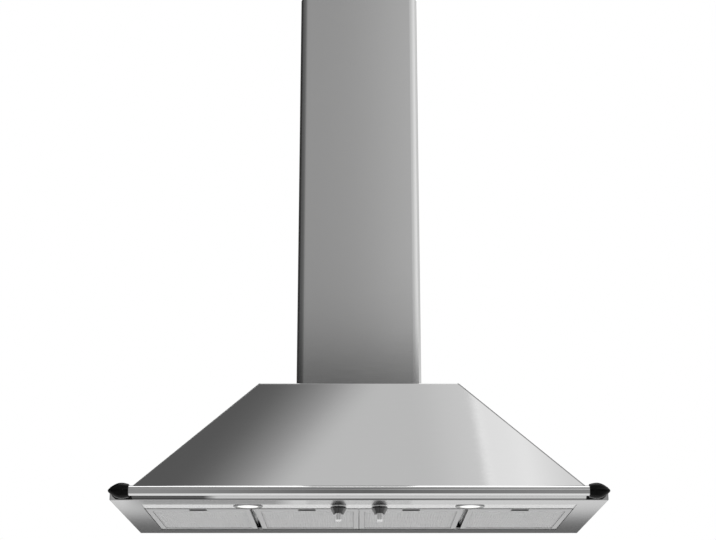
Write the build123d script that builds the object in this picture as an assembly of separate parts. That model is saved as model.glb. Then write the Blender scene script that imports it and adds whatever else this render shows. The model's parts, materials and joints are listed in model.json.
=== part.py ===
"""Wall chimney hood, 110 cm: canopy, telescopic flue cover, blower, filters, lamps and controls.

Frame: x to the right, y towards the wall (the wall is the plane y = 0), z up. The origin is on the
wall, midway across the hood, at the level of the underside. All sizes are in millimetres.
"""

import math
import os

from build123d import *

os.makedirs("parts", exist_ok=True)

# ------------------------------------------------------------------ driving sizes
# How far a cutter runs past the face that it opens
overcut = 1.0

# Rim and underside
hood_width = 1100.0
hood_depth = 500.0
rim_height = 30.0
frame_sheet = 1.2
fold_radius = 1.5
front_flange = 59.0
side_flange = 61.0
rear_flange = 60.0
opening_lip = 12.0
lip_relief = 3.0
rear_bead_radius = 2.0
rear_bead_height = 4.0
rear_ledge = 16.0
ledge_overlap = 16.0

# Canopy and its rear panel
canopy_inset = 34.0
canopy_top_width = 480.0
canopy_top_depth = 284.0
canopy_top_height = 318.0
canopy_sheet = 1.0
ridge_radius = 1.5
panel_sheet = 1.2
panel_flange = 14.0
panel_gap = 0.3
panel_screw_x = 380.0
wall_hole_radius = 4.5
wall_hole_spacing_x = 320.0
wall_hole_spacing_z = 150.0
wall_hole_height = 190.0

# Flue covers
flue_width = 303.0
flue_depth = 270.0
flue_corner = 20.0
flue_sheet = 1.0
lower_flue_length = 1042.0
upper_flue_length = 640.0
upper_flue_showing = 40.0
flue_gap = 0.9
flue_return = 20.0
flue_foot = 15.0
flue_screw_y = -70.0
vent_slot_length = 60.0
vent_slot_width = 5.0
vent_slot_pitch = 18.0
vent_slot_count = 5
vent_slot_drop = 60.0

# Wall bracket of the upper flue
bracket_sheet = 2.0
bracket_height = 28.0
bracket_plate_half = 122.0
bracket_joggle = 24.0
bracket_wing = 40.0
bracket_wing_gap = 0.1
bracket_drop = 8.0
bracket_hole_spacing = 200.0
bracket_hole_radius = 3.0

# Control strip
strip_recess = 2.0
strip_depth = 68.0
strip_lip = 12.0
strip_gap = 0.3

# Stay bars above the filters
bar_width = 14.0
bar_height = 8.0
bar_sheet = 1.2
bar_foot_gap = 3.0

# Rail
rail_radius = 11.0
rail_wall = 1.5
rail_gap = 16.0
rail_height = 16.5
rail_socket = 15.0
rail_socket_end_gap = 0.2
rail_socket_clearance = 0.05
end_cap_length = 46.0
end_cap_radius = 17.4
end_cap_face_radius = 14.6
end_cap_widest = 16.0
end_cap_tip_radius = 2.0
end_cap_edge = 0.8
end_cap_steps = 5
end_neck_radius = 9.0

# Screws (one kind)
screw_radius = 2.5
screw_head_radius = 4.5
screw_head_height = 2.6
screw_length = 10.0
screw_hole_radius = 2.7

# Knobs, bezels and switches
knob_spacing = 93.0
knob_from_front = 93.0
knob_radius = 18.4
knob_rim = 4.0
knob_neck_radius = 12.5
knob_shoulder = 1.8
knob_grip_edge = 1.6
knob_skirt_depth = 16.0
knob_depth = 30.3
knob_grip_width = 13.0
knob_grip_length = 31.0
knob_gap = 0.5
bezel_radius = 20.5
bezel_bore = 9.0
bezel_thickness = 2.5
bezel_edge = (2.0, 1.2)
spindle_radius = 3.0
spindle_flat = 0.8
spindle_clearance = 0.08
spindle_end_gap = 0.3
spindle_reach_in_skirt = 2.0
switch_size = 28.0
switch_height = 22.0
switch_corner = 3.0
switch_tag_places = (-9.0, -3.0, 3.0, 9.0)
switch_tag_size = (0.8, 4.8, 7.0)
bushing_radius = 5.0
bushing_clearance = 0.2

# Lamps
lamp_spacing = 502.0
lamp_from_front = 93.0
lamp_ring_radius = 33.5
lamp_glass_radius = 26.5
lamp_glass_thickness = 3.0
lamp_ring_drop = 2.5
lamp_ring_seat = 1.2
lamp_ring_lap = 1.5
lamp_ring_neck_rise = 4.0
lamp_ring_neck_gap = 0.4
lamp_glass_clearance = 0.1
lamp_can_radius = 31.0
lamp_can_height = 42.0
lamp_can_wall = 1.0
lamp_can_foot = 1.2
lamp_can_shoulder = (8.0, 10.0)
lamp_hole_radius = 30.0
bulb_base_radius = 9.0
bulb_base_height = 12.0
bulb_radius = 5.0
bulb_height = 28.0
bulb_tip = 2.0

# Filters
filter_thickness = 9.0
filter_raise = 1.0
filter_wall = 1.0
filter_border = 12.0
filter_side_gap = 1.0
filter_front_gap = 1.5
filter_centre_gap = 1.5
filter_divider_gap = 12.0
filter_rear_gap = 5.0
filter_front_bar = 33.0
mesh_pitch = 13.0
mesh_sheet = 0.9
mesh_skin = 0.6
mesh_gap = 0.2
hook_width = 30.0
hook_spacing = 140.0
hook_sheet = 1.2
hook_clearance = 0.15
hook_curl_end = 1.1

# Filter catches
catch_width = 48.0
catch_depth = 20.5
catch_sheet = 2.0
catch_lift = 4.0
catch_tongue_width = 28.0
catch_tongue_reach = 1.2
catch_travel = 6.0
catch_gap = 0.3
catch_plate_gap = 0.5
catch_rail_width = 3.0
catch_rib_lift = 0.2
catch_window_width = 40.0
catch_window_depth = 21.0
catch_window_from_front = 5.0
catch_rib_width = 36.0
catch_rib_thickness = 2.5
spring_sheet = 0.5
spring_end_gap = 0.1
spring_flat_share = 0.4

# Blower
scroll_centre_y = -210.0
scroll_centre_z = 170.0
scroll_width = 160.0
scroll_sheet = 1.2
scroll_start_radius = 92.0
scroll_growth = 43.0
scroll_outlet_near = 15.0
scroll_tongue_radius = 6.0
inlet_radius = 62.0
inlet_flange = 16.0
inlet_lip = 8.0
inlet_knee = 0.3
inlet_plate_border = 12.0
wheel_radius = 80.0
wheel_inner_radius = 66.0
wheel_half_length = 64.0
blade_count = 36
blade_sheet = 0.9
blade_sweep = 10.0
blade_bend = 0.3
wheel_disc = 2.0
wheel_ring_inset = 8.0
wheel_ring_lap = 1.0
wheel_way_out = 3.0
hub_radius = 10.0
hub_length = 14.0
hub_bore_clearance = 0.02
shaft_radius = 4.0
shaft_clearance = 0.05
shaft_in_motor = 29.0
shaft_bore_spare = 1.0
motor_radius = 44.0
motor_length = 66.0
motor_step = 0.92
motor_dome = (12.0, 16.0)
motor_face_radii = (26.4, 19.8)
motor_to_wheel = 6.0
motor_arm_width = 16.0
motor_arm_overlap = 8.0
motor_bracket_radius = 31.0
motor_bracket_bore = 12.0
motor_bracket_sheet = 2.0
outlet_plate = 190.0
outlet_plate_corner = 6.0
outlet_screw_inset = 8.0

# Outlet collar and damper
collar_outer_radius = 75.0
collar_wall = 1.0
collar_height = 48.0
collar_plate_sheet = 2.0
damper_height = 30.0
flap_radius = 71.5
flap_sheet = 1.2
flap_inner_edge = 4.2
knuckle_radius = 3.6
damper_pin_radius = 2.0
damper_pin_clearance = 0.1
damper_pin_fit = 0.02
damper_pin_end_gap = 0.1
knuckle_web = 0.8
knuckle_lap = 1.0
knuckle_length = 26.0
knuckle_gap = 1.0
seat_ring_radius = 69.0
seat_ring_sheet = 1.1
flap_seat_gap = 0.3

# Electrical pieces
terminal_box_size = (100.0, 45.0, 60.0)
terminal_box_x = 280.0
terminal_box_z = 60.0
terminal_box_corner = 4.0
terminal_lid_depth = 12.0
terminal_groove = 1.0
terminal_spout = (7.0, 10.0)
terminal_spout_offset = 8.0
capacitor_radius = 17.0
capacitor_length = 58.0
capacitor_x = 240.0
capacitor_z = 165.0
capacitor_foot = (12.0, 4.0)
capacitor_edge = 2.0
gland_x = 112.0
gland_y = -32.0
gland_radius = 8.0
gland_bore = 4.5
gland_clearance = 0.2
gland_below = 8.0
gland_above = 16.0
gland_nut_wall = 4.0
gland_nut_height = 6.0

# ------------------------------------------------------------------ worked-out places
half_width = hood_width / 2
front = -hood_depth
opening_half = half_width - side_flange
opening_front = front + front_flange
opening_rear = -rear_flange
canopy_half = half_width - canopy_inset
canopy_front = front + canopy_inset
canopy_top_half = canopy_top_width / 2
canopy_rise = canopy_top_height - rim_height
side_lean = math.atan2(canopy_half - canopy_top_half, canopy_rise)
front_lean = math.atan2(-canopy_top_depth - canopy_front, canopy_rise)
canopy_ceiling = canopy_top_height - canopy_sheet
flue_centre_y = -flue_depth / 2
lower_flue_top = canopy_top_height + lower_flue_length
upper_flue_top = lower_flue_top + upper_flue_showing
strip_front = opening_front + strip_gap
strip_rear = strip_front + strip_depth
strip_top = strip_recess + frame_sheet
rail_y = front - rail_gap - rail_radius
rail_end_x = half_width - end_cap_length
neck_x = rail_end_x + end_cap_widest
control_y = front + knob_from_front
lamp_y = front + lamp_from_front
filter_front = strip_rear + filter_front_gap
filter_rear = opening_rear - filter_rear_gap
filter_top = filter_raise + filter_thickness
filter_room = opening_half - filter_side_gap - filter_divider_gap - filter_centre_gap / 2
filter_width = filter_room / 2


# ------------------------------------------------------------------ shape helpers
def slab(x, y, z):
    """A box from three (low, high) pairs."""
    sizes = [high - low for low, high in (x, y, z)]
    middle = [(high + low) / 2 for low, high in (x, y, z)]
    return Pos(*middle) * Box(*sizes)


def rod(start, end, radius):
    """A round bar from one point to another."""
    way = Vector(*end) - Vector(*start)
    return extrude(Plane(origin=start, z_dir=way) * Circle(radius), amount=way.length)


def prism_x(outline, x):
    """A (y, z) outline drawn out between two x."""
    return extrude(Plane.YZ.offset(x[0]) * outline, amount=x[1] - x[0])


def prism_y(outline, y):
    """An (x, z) outline drawn out between two y."""
    return extrude(Plane.XZ.offset(-y[1]) * outline, amount=y[1] - y[0])


def prism_z(outline, z):
    """An (x, y) outline drawn out between two z."""
    return extrude(Plane.XY.offset(z[0]) * outline, amount=z[1] - z[0])


def outline(*points):
    """A closed outline through points given in its plane's own coordinates."""
    return Polygon(*points, align=None)


def turned(points, centre=(0, 0, 0)):
    """A ring or cap turned about the vertical through centre, from (radius, z) points."""
    return Pos(*centre) * revolve(Plane.XZ * outline(*points), Axis.Z)


def tube(centre, z, outer, inner):
    """An upright tube between two z."""
    rings = Circle(outer) - Circle(inner)
    return Pos(centre[0], centre[1], 0) * prism_z(rings, z)


def mirrored_pair(x):
    """The two signed copies of an x, left first."""
    return (("left", -x), ("right", x))


def save(name, shape):
    """Write one node."""
    export_step(shape, f"parts/{name}.step")


def screw(seat, way):
    """A pan-head screw whose head sits on seat and whose shank points along way."""
    seat = Vector(*seat)
    way = Vector(*way).normalized()
    head_end = seat - way * screw_head_height
    tip = seat + way * screw_length
    head = rod(tuple(head_end), tuple(seat), screw_head_radius)
    return head + rod(tuple(seat), tuple(tip), screw_radius)


def screw_hole(seat, way):
    """The clearance hole for such a screw, through everything along its shank."""
    seat = Vector(*seat)
    way = Vector(*way).normalized()
    start = seat - way * overcut
    end = seat + way * (screw_length + overcut)
    return rod(tuple(start), tuple(end), screw_hole_radius)


# ------------------------------------------------------------------ screw places
collar_corner = outlet_plate / 2 - outlet_screw_inset
flue_foot_inset = flue_sheet + flue_foot / 2
under_ceiling = canopy_ceiling - frame_sheet

rail_screws = [
    ((x, front + frame_sheet, rail_height), (0, -1, 0))
    for side, x in mirrored_pair(neck_x)
]
panel_screws = [
    ((x, -rear_ledge / 2, rim_height + panel_sheet), (0, 0, -1))
    for side, x in mirrored_pair(panel_screw_x)
]
collar_screws = [
    ((x, flue_centre_y + dy, under_ceiling), (0, 0, 1))
    for side, x in mirrored_pair(collar_corner)
    for dy in (-collar_corner, collar_corner)
]
flue_screws = [
    ((x, flue_screw_y, canopy_ceiling), (0, 0, 1))
    for side, x in mirrored_pair(flue_width / 2 - flue_foot_inset)
]


def drilled(shape, places):
    """The shape with the clearance holes of these screws."""
    for seat, way in places:
        shape -= screw_hole(seat, way)
    return shape


# ------------------------------------------------------------------ rim and canopy
def base_frame():
    """Rim, top ledge and underside flange folded from one sheet, with upturned lips."""
    shape = slab((-half_width, half_width), (front, 0), (0, rim_height))
    folds = [edge for edge in shape.edges() if edge.center().Y < -fold_radius]
    shape = fillet(folds, fold_radius)
    inner_x = half_width - frame_sheet
    ledge_low = rim_height - frame_sheet
    shape -= slab((-inner_x, inner_x), (front + frame_sheet, -frame_sheet), (frame_sheet, ledge_low))
    web_front = opening_rear - frame_sheet / 2
    opening_x = (-opening_half, opening_half)
    shape -= slab(opening_x, (opening_front, web_front), (-overcut, frame_sheet + overcut))
    ledge_x = canopy_half - ledge_overlap
    ledge_y = (canopy_front + ledge_overlap, -rear_ledge)
    shape -= slab((-ledge_x, ledge_x), ledge_y, (ledge_low - overcut, rim_height + overcut))
    lips = slab(
        (-opening_half - frame_sheet, opening_half + frame_sheet),
        (opening_front - frame_sheet, web_front - lip_relief),
        (0, opening_lip),
    )
    lip_z = (-overcut, opening_lip + overcut)
    lips -= slab(opening_x, (opening_front, web_front + overcut), lip_z)
    web = slab(opening_x, (web_front, web_front + frame_sheet), (0, rear_bead_height))
    bead_ends = [(x, opening_rear, rear_bead_height) for x in opening_x]
    shape += lips + web + rod(*bead_ends, rear_bead_radius)
    return drilled(shape, rail_screws + panel_screws)


def canopy_corner(inset, z):
    """The x and y of the front right ridge at a height, with the sheets taken in by inset."""
    rise = z - rim_height
    x = canopy_half - inset / math.cos(side_lean) - math.tan(side_lean) * rise
    y = canopy_front + inset / math.cos(front_lean) + math.tan(front_lean) * rise
    return x, y


def canopy_block(low, high, inset_low, inset_high, rear=0):
    """A full solid of the canopy's outline between two heights, each taken in by its own inset."""
    low_x, low_y = canopy_corner(inset_low, low)
    high_x, high_y = canopy_corner(inset_high, high)
    across = outline((-low_x, low), (low_x, low), (high_x, high), (-high_x, high))
    along = outline((low_y, low), (rear, low), (rear, high), (high_y, high))
    return prism_y(across, (front, rear)) & prism_x(along, (-half_width, half_width))


def beyond_right_mitre():
    """The space to the right of the mitre between the front and the right sheet."""
    low = Vector(*canopy_corner(0, rim_height), rim_height)
    high = Vector(*canopy_corner(0, canopy_top_height), canopy_top_height)
    inner = Vector(*canopy_corner(canopy_sheet, rim_height), rim_height)
    ridge = high - low
    mitre = Plane(origin=low, x_dir=ridge, z_dir=ridge.cross(inner - low))
    below = (Align.CENTER, Align.CENTER, Align.MAX)
    return mitre * Box(2 * hood_width, 2 * hood_width, hood_width, align=below)


def canopy_shell():
    """Top, front and side sheets of the canopy, mitred and welded along the ridges."""
    shape = canopy_block(rim_height, canopy_top_height, 0, 0)
    ridges = [edge for edge in shape.edges() if edge.center().Y < -1 and edge.center().Z > rim_height + 1]
    shape = fillet(ridges, ridge_radius)
    shape -= canopy_block(rim_height, canopy_ceiling, canopy_sheet, canopy_sheet, overcut)
    hole_z = (canopy_ceiling - overcut, canopy_top_height + overcut)
    shape -= prism_z(Pos(0, flue_centre_y) * Circle(collar_outer_radius), hole_z)
    shape -= prism_z(Pos(gland_x, gland_y) * Circle(gland_radius), hole_z)
    shape = drilled(shape, collar_screws + flue_screws)
    top = canopy_block(canopy_ceiling, canopy_top_height, canopy_sheet, 0)
    right = beyond_right_mitre()
    left = mirror(right, Plane.YZ)
    walls = shape - top
    sheets = (shape & top, walls & right, walls & left, walls - right - left)
    return Compound([solid for sheet in sheets for solid in sheet.solids()])


def rear_panel():
    """Flat back with the four wall holes and a flange along its top and bottom."""
    taper = math.tan(side_lean)
    low_x = canopy_half - canopy_sheet / math.cos(side_lean) - panel_gap
    high_x = low_x - taper * (canopy_ceiling - rim_height)
    low = rim_height
    high = canopy_ceiling
    face = outline((-low_x, low), (low_x, low), (high_x, high), (-high_x, high))
    shape = prism_y(face, (-panel_sheet, 0))
    bottom_x = low_x - taper * panel_sheet
    flange_y = (-panel_flange, 0)
    shape += slab((-bottom_x, bottom_x), flange_y, (low, low + panel_sheet))
    shape += slab((-high_x, high_x), flange_y, (high - panel_sheet, high))
    for x in (-wall_hole_spacing_x / 2, wall_hole_spacing_x / 2):
        for dz in (-wall_hole_spacing_z / 2, wall_hole_spacing_z / 2):
            z = wall_hole_height + dz
            shape -= rod((x, -panel_sheet - overcut, z), (x, overcut, z), wall_hole_radius)
    return drilled(shape, panel_screws)


# ------------------------------------------------------------------ flue
def flue_section(width, depth, rear, corner):
    """Plan of a flue cover's outside: square at the wall, rounded at the two front edges."""
    blank = Pos(0, (rear - depth) / 2) * Rectangle(width, rear + depth)
    corners = blank.vertices().sort_by(Axis.Y)[:2]
    return fillet(corners, corner)


def flue_cover(width, depth, rear, z):
    """A U-shaped cover with its edges returned along the wall."""
    plan = flue_section(width, depth, rear, flue_corner)
    sheet = flue_sheet
    plan -= flue_section(width - 2 * sheet, depth - sheet, rear - sheet, flue_corner - sheet)
    mouth_half = width / 2 - flue_return
    plan -= Pos(0, rear - sheet / 2) * Rectangle(2 * mouth_half, sheet + overcut)
    return prism_z(plan, z)


def lower_flue():
    """Lower cover with an inward foot that is screwed to the canopy's top."""
    shape = flue_cover(flue_width, flue_depth, 0, (canopy_top_height, lower_flue_top))
    middle = flue_sheet / 2
    plan = flue_section(flue_width - flue_sheet, flue_depth - middle, -middle, flue_corner)
    inner_half = flue_width / 2 - flue_sheet - flue_foot
    inner_depth = flue_depth - flue_sheet - flue_foot + overcut
    plan -= Pos(0, overcut - inner_depth / 2) * Rectangle(2 * inner_half, inner_depth)
    shape += prism_z(plan, (canopy_top_height, canopy_top_height + flue_sheet))
    return drilled(shape, flue_screws)


upper_width = flue_width - 2 * (flue_sheet + flue_gap)
upper_depth = flue_depth - flue_sheet - flue_gap
upper_rear = -flue_sheet - strip_gap
bracket_top = upper_flue_top - bracket_drop
bracket_middle = bracket_top - bracket_height / 2
bracket_screw_y = -bracket_sheet - bracket_joggle - bracket_wing / 2


def bracket_screw_places():
    """The two screws that hold the upper flue to its bracket's wings, from outside."""
    left = (-upper_width / 2, bracket_screw_y, bracket_middle)
    right = (upper_width / 2, bracket_screw_y, bracket_middle)
    return [(left, (1, 0, 0)), (right, (-1, 0, 0))]


def upper_flue():
    """Upper cover, which slides inside the lower one, with recirculation slots near its top."""
    bottom = upper_flue_top - upper_flue_length
    shape = flue_cover(upper_width, upper_depth, upper_rear, (bottom, upper_flue_top))
    slot_z = upper_flue_top - vent_slot_drop
    slot_plan = Rectangle(vent_slot_width, vent_slot_length)
    first = flue_centre_y - vent_slot_pitch * (vent_slot_count - 1) / 2
    for index in range(vent_slot_count):
        y = first + index * vent_slot_pitch
        cutter = Plane.YZ.offset(-flue_width) * Pos(y, slot_z - vent_slot_length / 2) * slot_plan
        shape -= extrude(cutter, amount=2 * flue_width)
    return drilled(shape, bracket_screw_places())


def flue_bracket():
    """Strip on the wall whose ends step forward and lie inside the upper flue's sides."""
    y0 = -bracket_sheet / 2
    wing_x = upper_width / 2 - flue_sheet - bracket_sheet / 2 - bracket_wing_gap
    points = [
        (bracket_plate_half, y0),
        (bracket_plate_half, y0 - bracket_joggle),
        (wing_x, y0 - bracket_joggle),
        (wing_x, y0 - bracket_joggle - bracket_wing),
    ]
    mirror_points = [(-x, y) for x, y in reversed(points)]
    strip = trace(Polyline(*mirror_points, *points), bracket_sheet)
    shape = prism_z(strip, (bracket_top - bracket_height, bracket_top))
    for x in (-bracket_hole_spacing / 2, bracket_hole_spacing / 2):
        start = (x, -bracket_sheet - overcut, bracket_middle)
        shape -= rod(start, (x, overcut, bracket_middle), bracket_hole_radius)
    return drilled(shape, bracket_screw_places())


# ------------------------------------------------------------------ control strip and stay bars
def control_strip():
    """Folded strip across the front of the opening, holed for lamps and switches."""
    end_x = opening_half - strip_gap
    low = strip_recess
    shape = slab((-end_x, end_x), (strip_front, strip_rear), (low, low + strip_lip))
    inner_x = end_x - frame_sheet
    shape -= slab(
        (-inner_x, inner_x),
        (strip_front + frame_sheet, strip_rear - frame_sheet),
        (strip_top, low + strip_lip + overcut),
    )
    hole_top = strip_top + overcut
    for side, x in mirrored_pair(lamp_spacing / 2):
        shape -= rod((x, lamp_y, 0), (x, lamp_y, hole_top), lamp_hole_radius)
    for side, x in mirrored_pair(knob_spacing / 2):
        shape -= rod((x, control_y, 0), (x, control_y, hole_top), bushing_radius + bushing_clearance)
    return shape


def stay_bar(x):
    """Inverted channel from the strip's rear lip to the frame's rear wall."""
    bottom = strip_recess + strip_lip
    top = bottom + bar_height
    half = bar_width / 2
    bar_front = strip_rear - frame_sheet - bar_sheet
    bar_rear = -frame_sheet
    across = (x - half, x + half)
    shape = slab(across, (bar_front, bar_rear), (bottom, top))
    inner = half - bar_sheet
    inner_y = (bar_front + bar_sheet, bar_rear - bar_sheet)
    shape -= slab((x - inner, x + inner), inner_y, (bottom - overcut, top - bar_sheet))
    foot_z = (strip_top + bar_foot_gap, bottom)
    shape += slab(across, (bar_front, bar_front + bar_sheet), foot_z)
    shape += slab(across, (bar_rear - bar_sheet, bar_rear), foot_z)
    return shape


# ------------------------------------------------------------------ rail
def hand_rail():
    """Bright tube in front of the rim, with its ends inside the black caps."""
    end = rail_end_x + rail_socket
    rings = Pos(rail_y, rail_height) * (Circle(rail_radius) - Circle(rail_radius - rail_wall))
    return prism_x(rings, (-end, end))


def rail_end(sign):
    """Bullet-shaped cap with a socket for the tube and a neck back to the rim."""
    nose_length = end_cap_length - end_cap_widest
    nose = []
    for step in range(end_cap_steps + 1):
        share = step / end_cap_steps
        radius = end_cap_tip_radius + (end_cap_radius - end_cap_tip_radius) * (1 - share**2)
        nose.append((end_cap_widest + nose_length * share, radius))
    flat = [(0, 0), (0, end_cap_face_radius - end_cap_edge), (end_cap_edge, end_cap_face_radius)]
    face = outline(*flat, *nose, (end_cap_length, 0))
    shape = revolve(face, Axis.X)
    socket_radius = rail_radius + rail_socket_clearance
    socket_depth = rail_socket + rail_socket_end_gap
    shape -= rod((-overcut, 0, 0), (socket_depth, 0, 0), socket_radius)
    if sign < 0:
        shape = mirror(shape, Plane.YZ)
    shape = Pos(sign * rail_end_x, rail_y, rail_height) * shape
    neck_from = (sign * neck_x, rail_y, rail_height)
    neck = rod(neck_from, (sign * neck_x, front, rail_height), end_neck_radius)
    socket_end = (sign * (rail_end_x + socket_depth), rail_y, rail_height)
    shape += neck - rod((0, rail_y, rail_height), socket_end, socket_radius)
    places = [place for place in rail_screws if place[0][0] * sign > 0]
    return drilled(shape, places)


# ------------------------------------------------------------------ knobs and switches
knob_top = strip_recess - bezel_thickness - knob_gap
knob_bottom = knob_top - knob_depth
spindle_bottom = knob_top - knob_skirt_depth + spindle_reach_in_skirt
switch_top = strip_top + switch_height


def spindle_section(radius):
    """D-shaped plan of a spindle or of the bore that takes it."""
    flat = Pos(0, -(radius - spindle_flat) - radius) * Rectangle(2 * radius, 2 * radius)
    return Circle(radius) - flat


def knob(x):
    """Chrome knob: round skirt with a raised bar grip and a D bore."""
    skirt_bottom = knob_top - knob_skirt_depth
    rim_bottom = knob_top - knob_rim
    points = [
        (0, knob_top),
        (knob_radius, knob_top),
        (knob_radius, rim_bottom),
        (knob_radius - knob_shoulder, (rim_bottom + skirt_bottom) / 2),
        (knob_neck_radius, skirt_bottom),
        (0, skirt_bottom),
    ]
    shape = turned(points)
    grip_plan = SlotOverall(knob_grip_length, knob_grip_width, rotation=90)
    grip = prism_z(grip_plan, (knob_bottom, knob_top - knob_rim))
    grip = chamfer(grip.faces().sort_by(Axis.Z)[0].edges(), knob_grip_edge)
    shape += grip
    bore_plan = spindle_section(spindle_radius + spindle_clearance / 2)
    bore = prism_z(bore_plan, (spindle_bottom, knob_top + overcut))
    return Pos(x, control_y, 0) * (shape - bore)


def knob_bezel(x):
    """Shallow ring between the strip and a knob."""
    low = strip_recess - bezel_thickness
    points = [
        (bezel_bore, low),
        (bezel_radius - bezel_edge[0], low),
        (bezel_radius, low + bezel_edge[1]),
        (bezel_radius, strip_recess),
        (bezel_bore, strip_recess),
    ]
    return turned(points, (x, control_y, 0))


def rotary_switch(x):
    """Square switch body on the strip, with its bushing through the strip and four tags."""
    half = switch_size / 2
    body = slab((-half, half), (-half, half), (strip_top, switch_top))
    body = chamfer(body.edges().filter_by(Axis.Z), switch_corner)
    body += rod((0, 0, knob_top + knob_gap), (0, 0, strip_top), bushing_radius)
    bore_top = switch_top - switch_corner + overcut
    body -= rod((0, 0, knob_top), (0, 0, bore_top), spindle_radius + spindle_clearance)
    thick, wide, tall = switch_tag_size
    tag = slab((-thick / 2, thick / 2), (-wide / 2, wide / 2), (switch_top, switch_top + tall))
    for tag_x in switch_tag_places:
        body += Pos(tag_x, 0, 0) * tag
    return Pos(x, control_y, 0) * body


def switch_spindle(x):
    """D-shaped end for the knob, round where it turns in the bushing."""
    neck = knob_top + knob_gap
    shape = prism_z(spindle_section(spindle_radius), (spindle_bottom + spindle_end_gap, neck))
    shape += rod((0, 0, neck), (0, 0, switch_top - switch_corner), spindle_radius)
    return Pos(x, control_y, 0) * shape


# ------------------------------------------------------------------ lamps
lamp_ring_low = strip_recess - lamp_ring_drop
lamp_seat = lamp_ring_low + lamp_ring_seat


def lamp_ring(x):
    """Trim ring: rounded flange under the strip and a neck up through its hole."""
    neck = lamp_hole_radius - lamp_ring_neck_gap
    neck_top = strip_top + lamp_ring_neck_rise
    bore = lamp_glass_radius + lamp_glass_clearance
    lap = lamp_glass_radius - lamp_ring_lap
    points = [
        (lap, lamp_ring_low),
        (lamp_ring_radius - lamp_ring_drop, lamp_ring_low),
        (lamp_ring_radius, strip_recess),
        (neck, strip_recess),
        (neck, neck_top),
        (bore, neck_top),
        (bore, lamp_seat),
        (lap, lamp_seat),
    ]
    return turned(points, (x, lamp_y, 0))


def lamp_glass(x):
    """Round glass that sits in the trim ring."""
    top = lamp_seat + lamp_glass_thickness
    return Pos(x, lamp_y, 0) * prism_z(Circle(lamp_glass_radius), (lamp_seat, top))


def lamp_can(x):
    """Pressed can on top of the strip that holds the bulb."""
    top = strip_top + lamp_can_height
    wall = lamp_can_wall
    shoulder_width, shoulder_height = lamp_can_shoulder
    roof_radius = lamp_can_radius - shoulder_width
    shoulder = top - shoulder_height
    foot_radius = lamp_can_radius + lamp_can_foot
    points = [
        (0, top),
        (roof_radius, top),
        (lamp_can_radius, shoulder),
        (lamp_can_radius, strip_top + wall),
        (foot_radius, strip_top + wall),
        (foot_radius, strip_top),
        (lamp_can_radius - wall, strip_top),
        (lamp_can_radius - wall, shoulder - wall / 2),
        (roof_radius - wall / 2, top - wall),
        (0, top - wall),
    ]
    return turned(points, (x, lamp_y, 0))


def lamp_bulb(x):
    """Ceramic base under the can's roof with a capsule bulb below it."""
    roof = strip_top + lamp_can_height - lamp_can_wall
    points = [
        (0, roof),
        (bulb_base_radius, roof),
        (bulb_base_radius, roof - bulb_base_height),
        (bulb_radius, roof - bulb_base_height),
        (bulb_radius, roof - bulb_height + bulb_tip),
        (0, roof - bulb_height),
    ]
    return turned(points, (x, lamp_y, 0))


# ------------------------------------------------------------------ filters
hook_inner = rear_bead_radius + hook_clearance
catch_low = filter_raise + catch_lift
catch_high = catch_low + catch_sheet
catch_front = filter_front + filter_wall + catch_plate_gap


def filter_middles():
    """The x of each filter's middle, from left to right."""
    inner = filter_centre_gap / 2 + filter_width / 2
    outer = inner + filter_width + filter_divider_gap
    return (-outer, -inner, inner, outer)


def filter_hook():
    """Section of a hook: a tab off the frame's rear face that curls over the rolled lip."""
    outer = hook_inner + hook_sheet
    curl = Circle(outer) - Circle(hook_inner)
    reach = outer + overcut
    keep = outline((0, reach), (0, -hook_curl_end), (reach, -hook_curl_end), (reach, reach))
    section = curl & keep
    tab = Pos(-filter_rear_gap / 2, (hook_inner + outer) / 2) * Rectangle(filter_rear_gap, hook_sheet)
    return Pos(opening_rear, rear_bead_height) * (section + tab)


def filter_frame(x):
    """Channel-section frame with a closed bar at the front for the catch, and two rear hooks."""
    half = filter_width / 2
    wall = filter_wall
    shape = slab((-half, half), (filter_front, filter_rear), (filter_raise, filter_top))
    shape = fillet(shape.edges().filter_by(Axis.Z), 3)
    inner_x = half - wall
    inner_z = (filter_raise + wall, filter_top - wall)
    shape -= slab((-inner_x, inner_x), (filter_front + wall, filter_rear - wall), inner_z)
    bar_rear = filter_front + filter_front_bar
    window_x = half - filter_border
    shape -= slab((-window_x, window_x), (bar_rear, filter_rear - filter_border), (0, filter_top + overcut))
    shape += slab((-inner_x, inner_x), (bar_rear - wall, bar_rear), inner_z)
    window_low = filter_front + catch_window_from_front
    window_half = catch_window_width / 2
    window_y = (window_low, window_low + catch_window_depth)
    shape -= slab((-window_half, window_half), window_y, (0, filter_raise + wall))
    tongue_half = catch_tongue_width / 2 + catch_gap
    tongue_z = (catch_low - catch_gap, catch_high + catch_gap)
    shape -= slab((-tongue_half, tongue_half), (filter_front - overcut, filter_front + wall), tongue_z)
    for sign in (-1, 1):
        near = sign * (window_half + wall)
        far = sign * (catch_width / 2 + catch_gap)
        outer = sign * (catch_width / 2 + catch_rail_width)
        rail_span = (filter_front + wall, bar_rear - wall)
        shape += slab(sorted((near, outer)), rail_span, (filter_raise + wall, catch_low - catch_gap))
        shape += slab(sorted((far, outer)), rail_span, (filter_raise + wall, catch_high))
    for middle in (-hook_spacing / 2, hook_spacing / 2):
        shape += prism_x(filter_hook(), (middle - hook_width / 2, middle + hook_width / 2))
    return Pos(x, 0, 0) * shape


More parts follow.
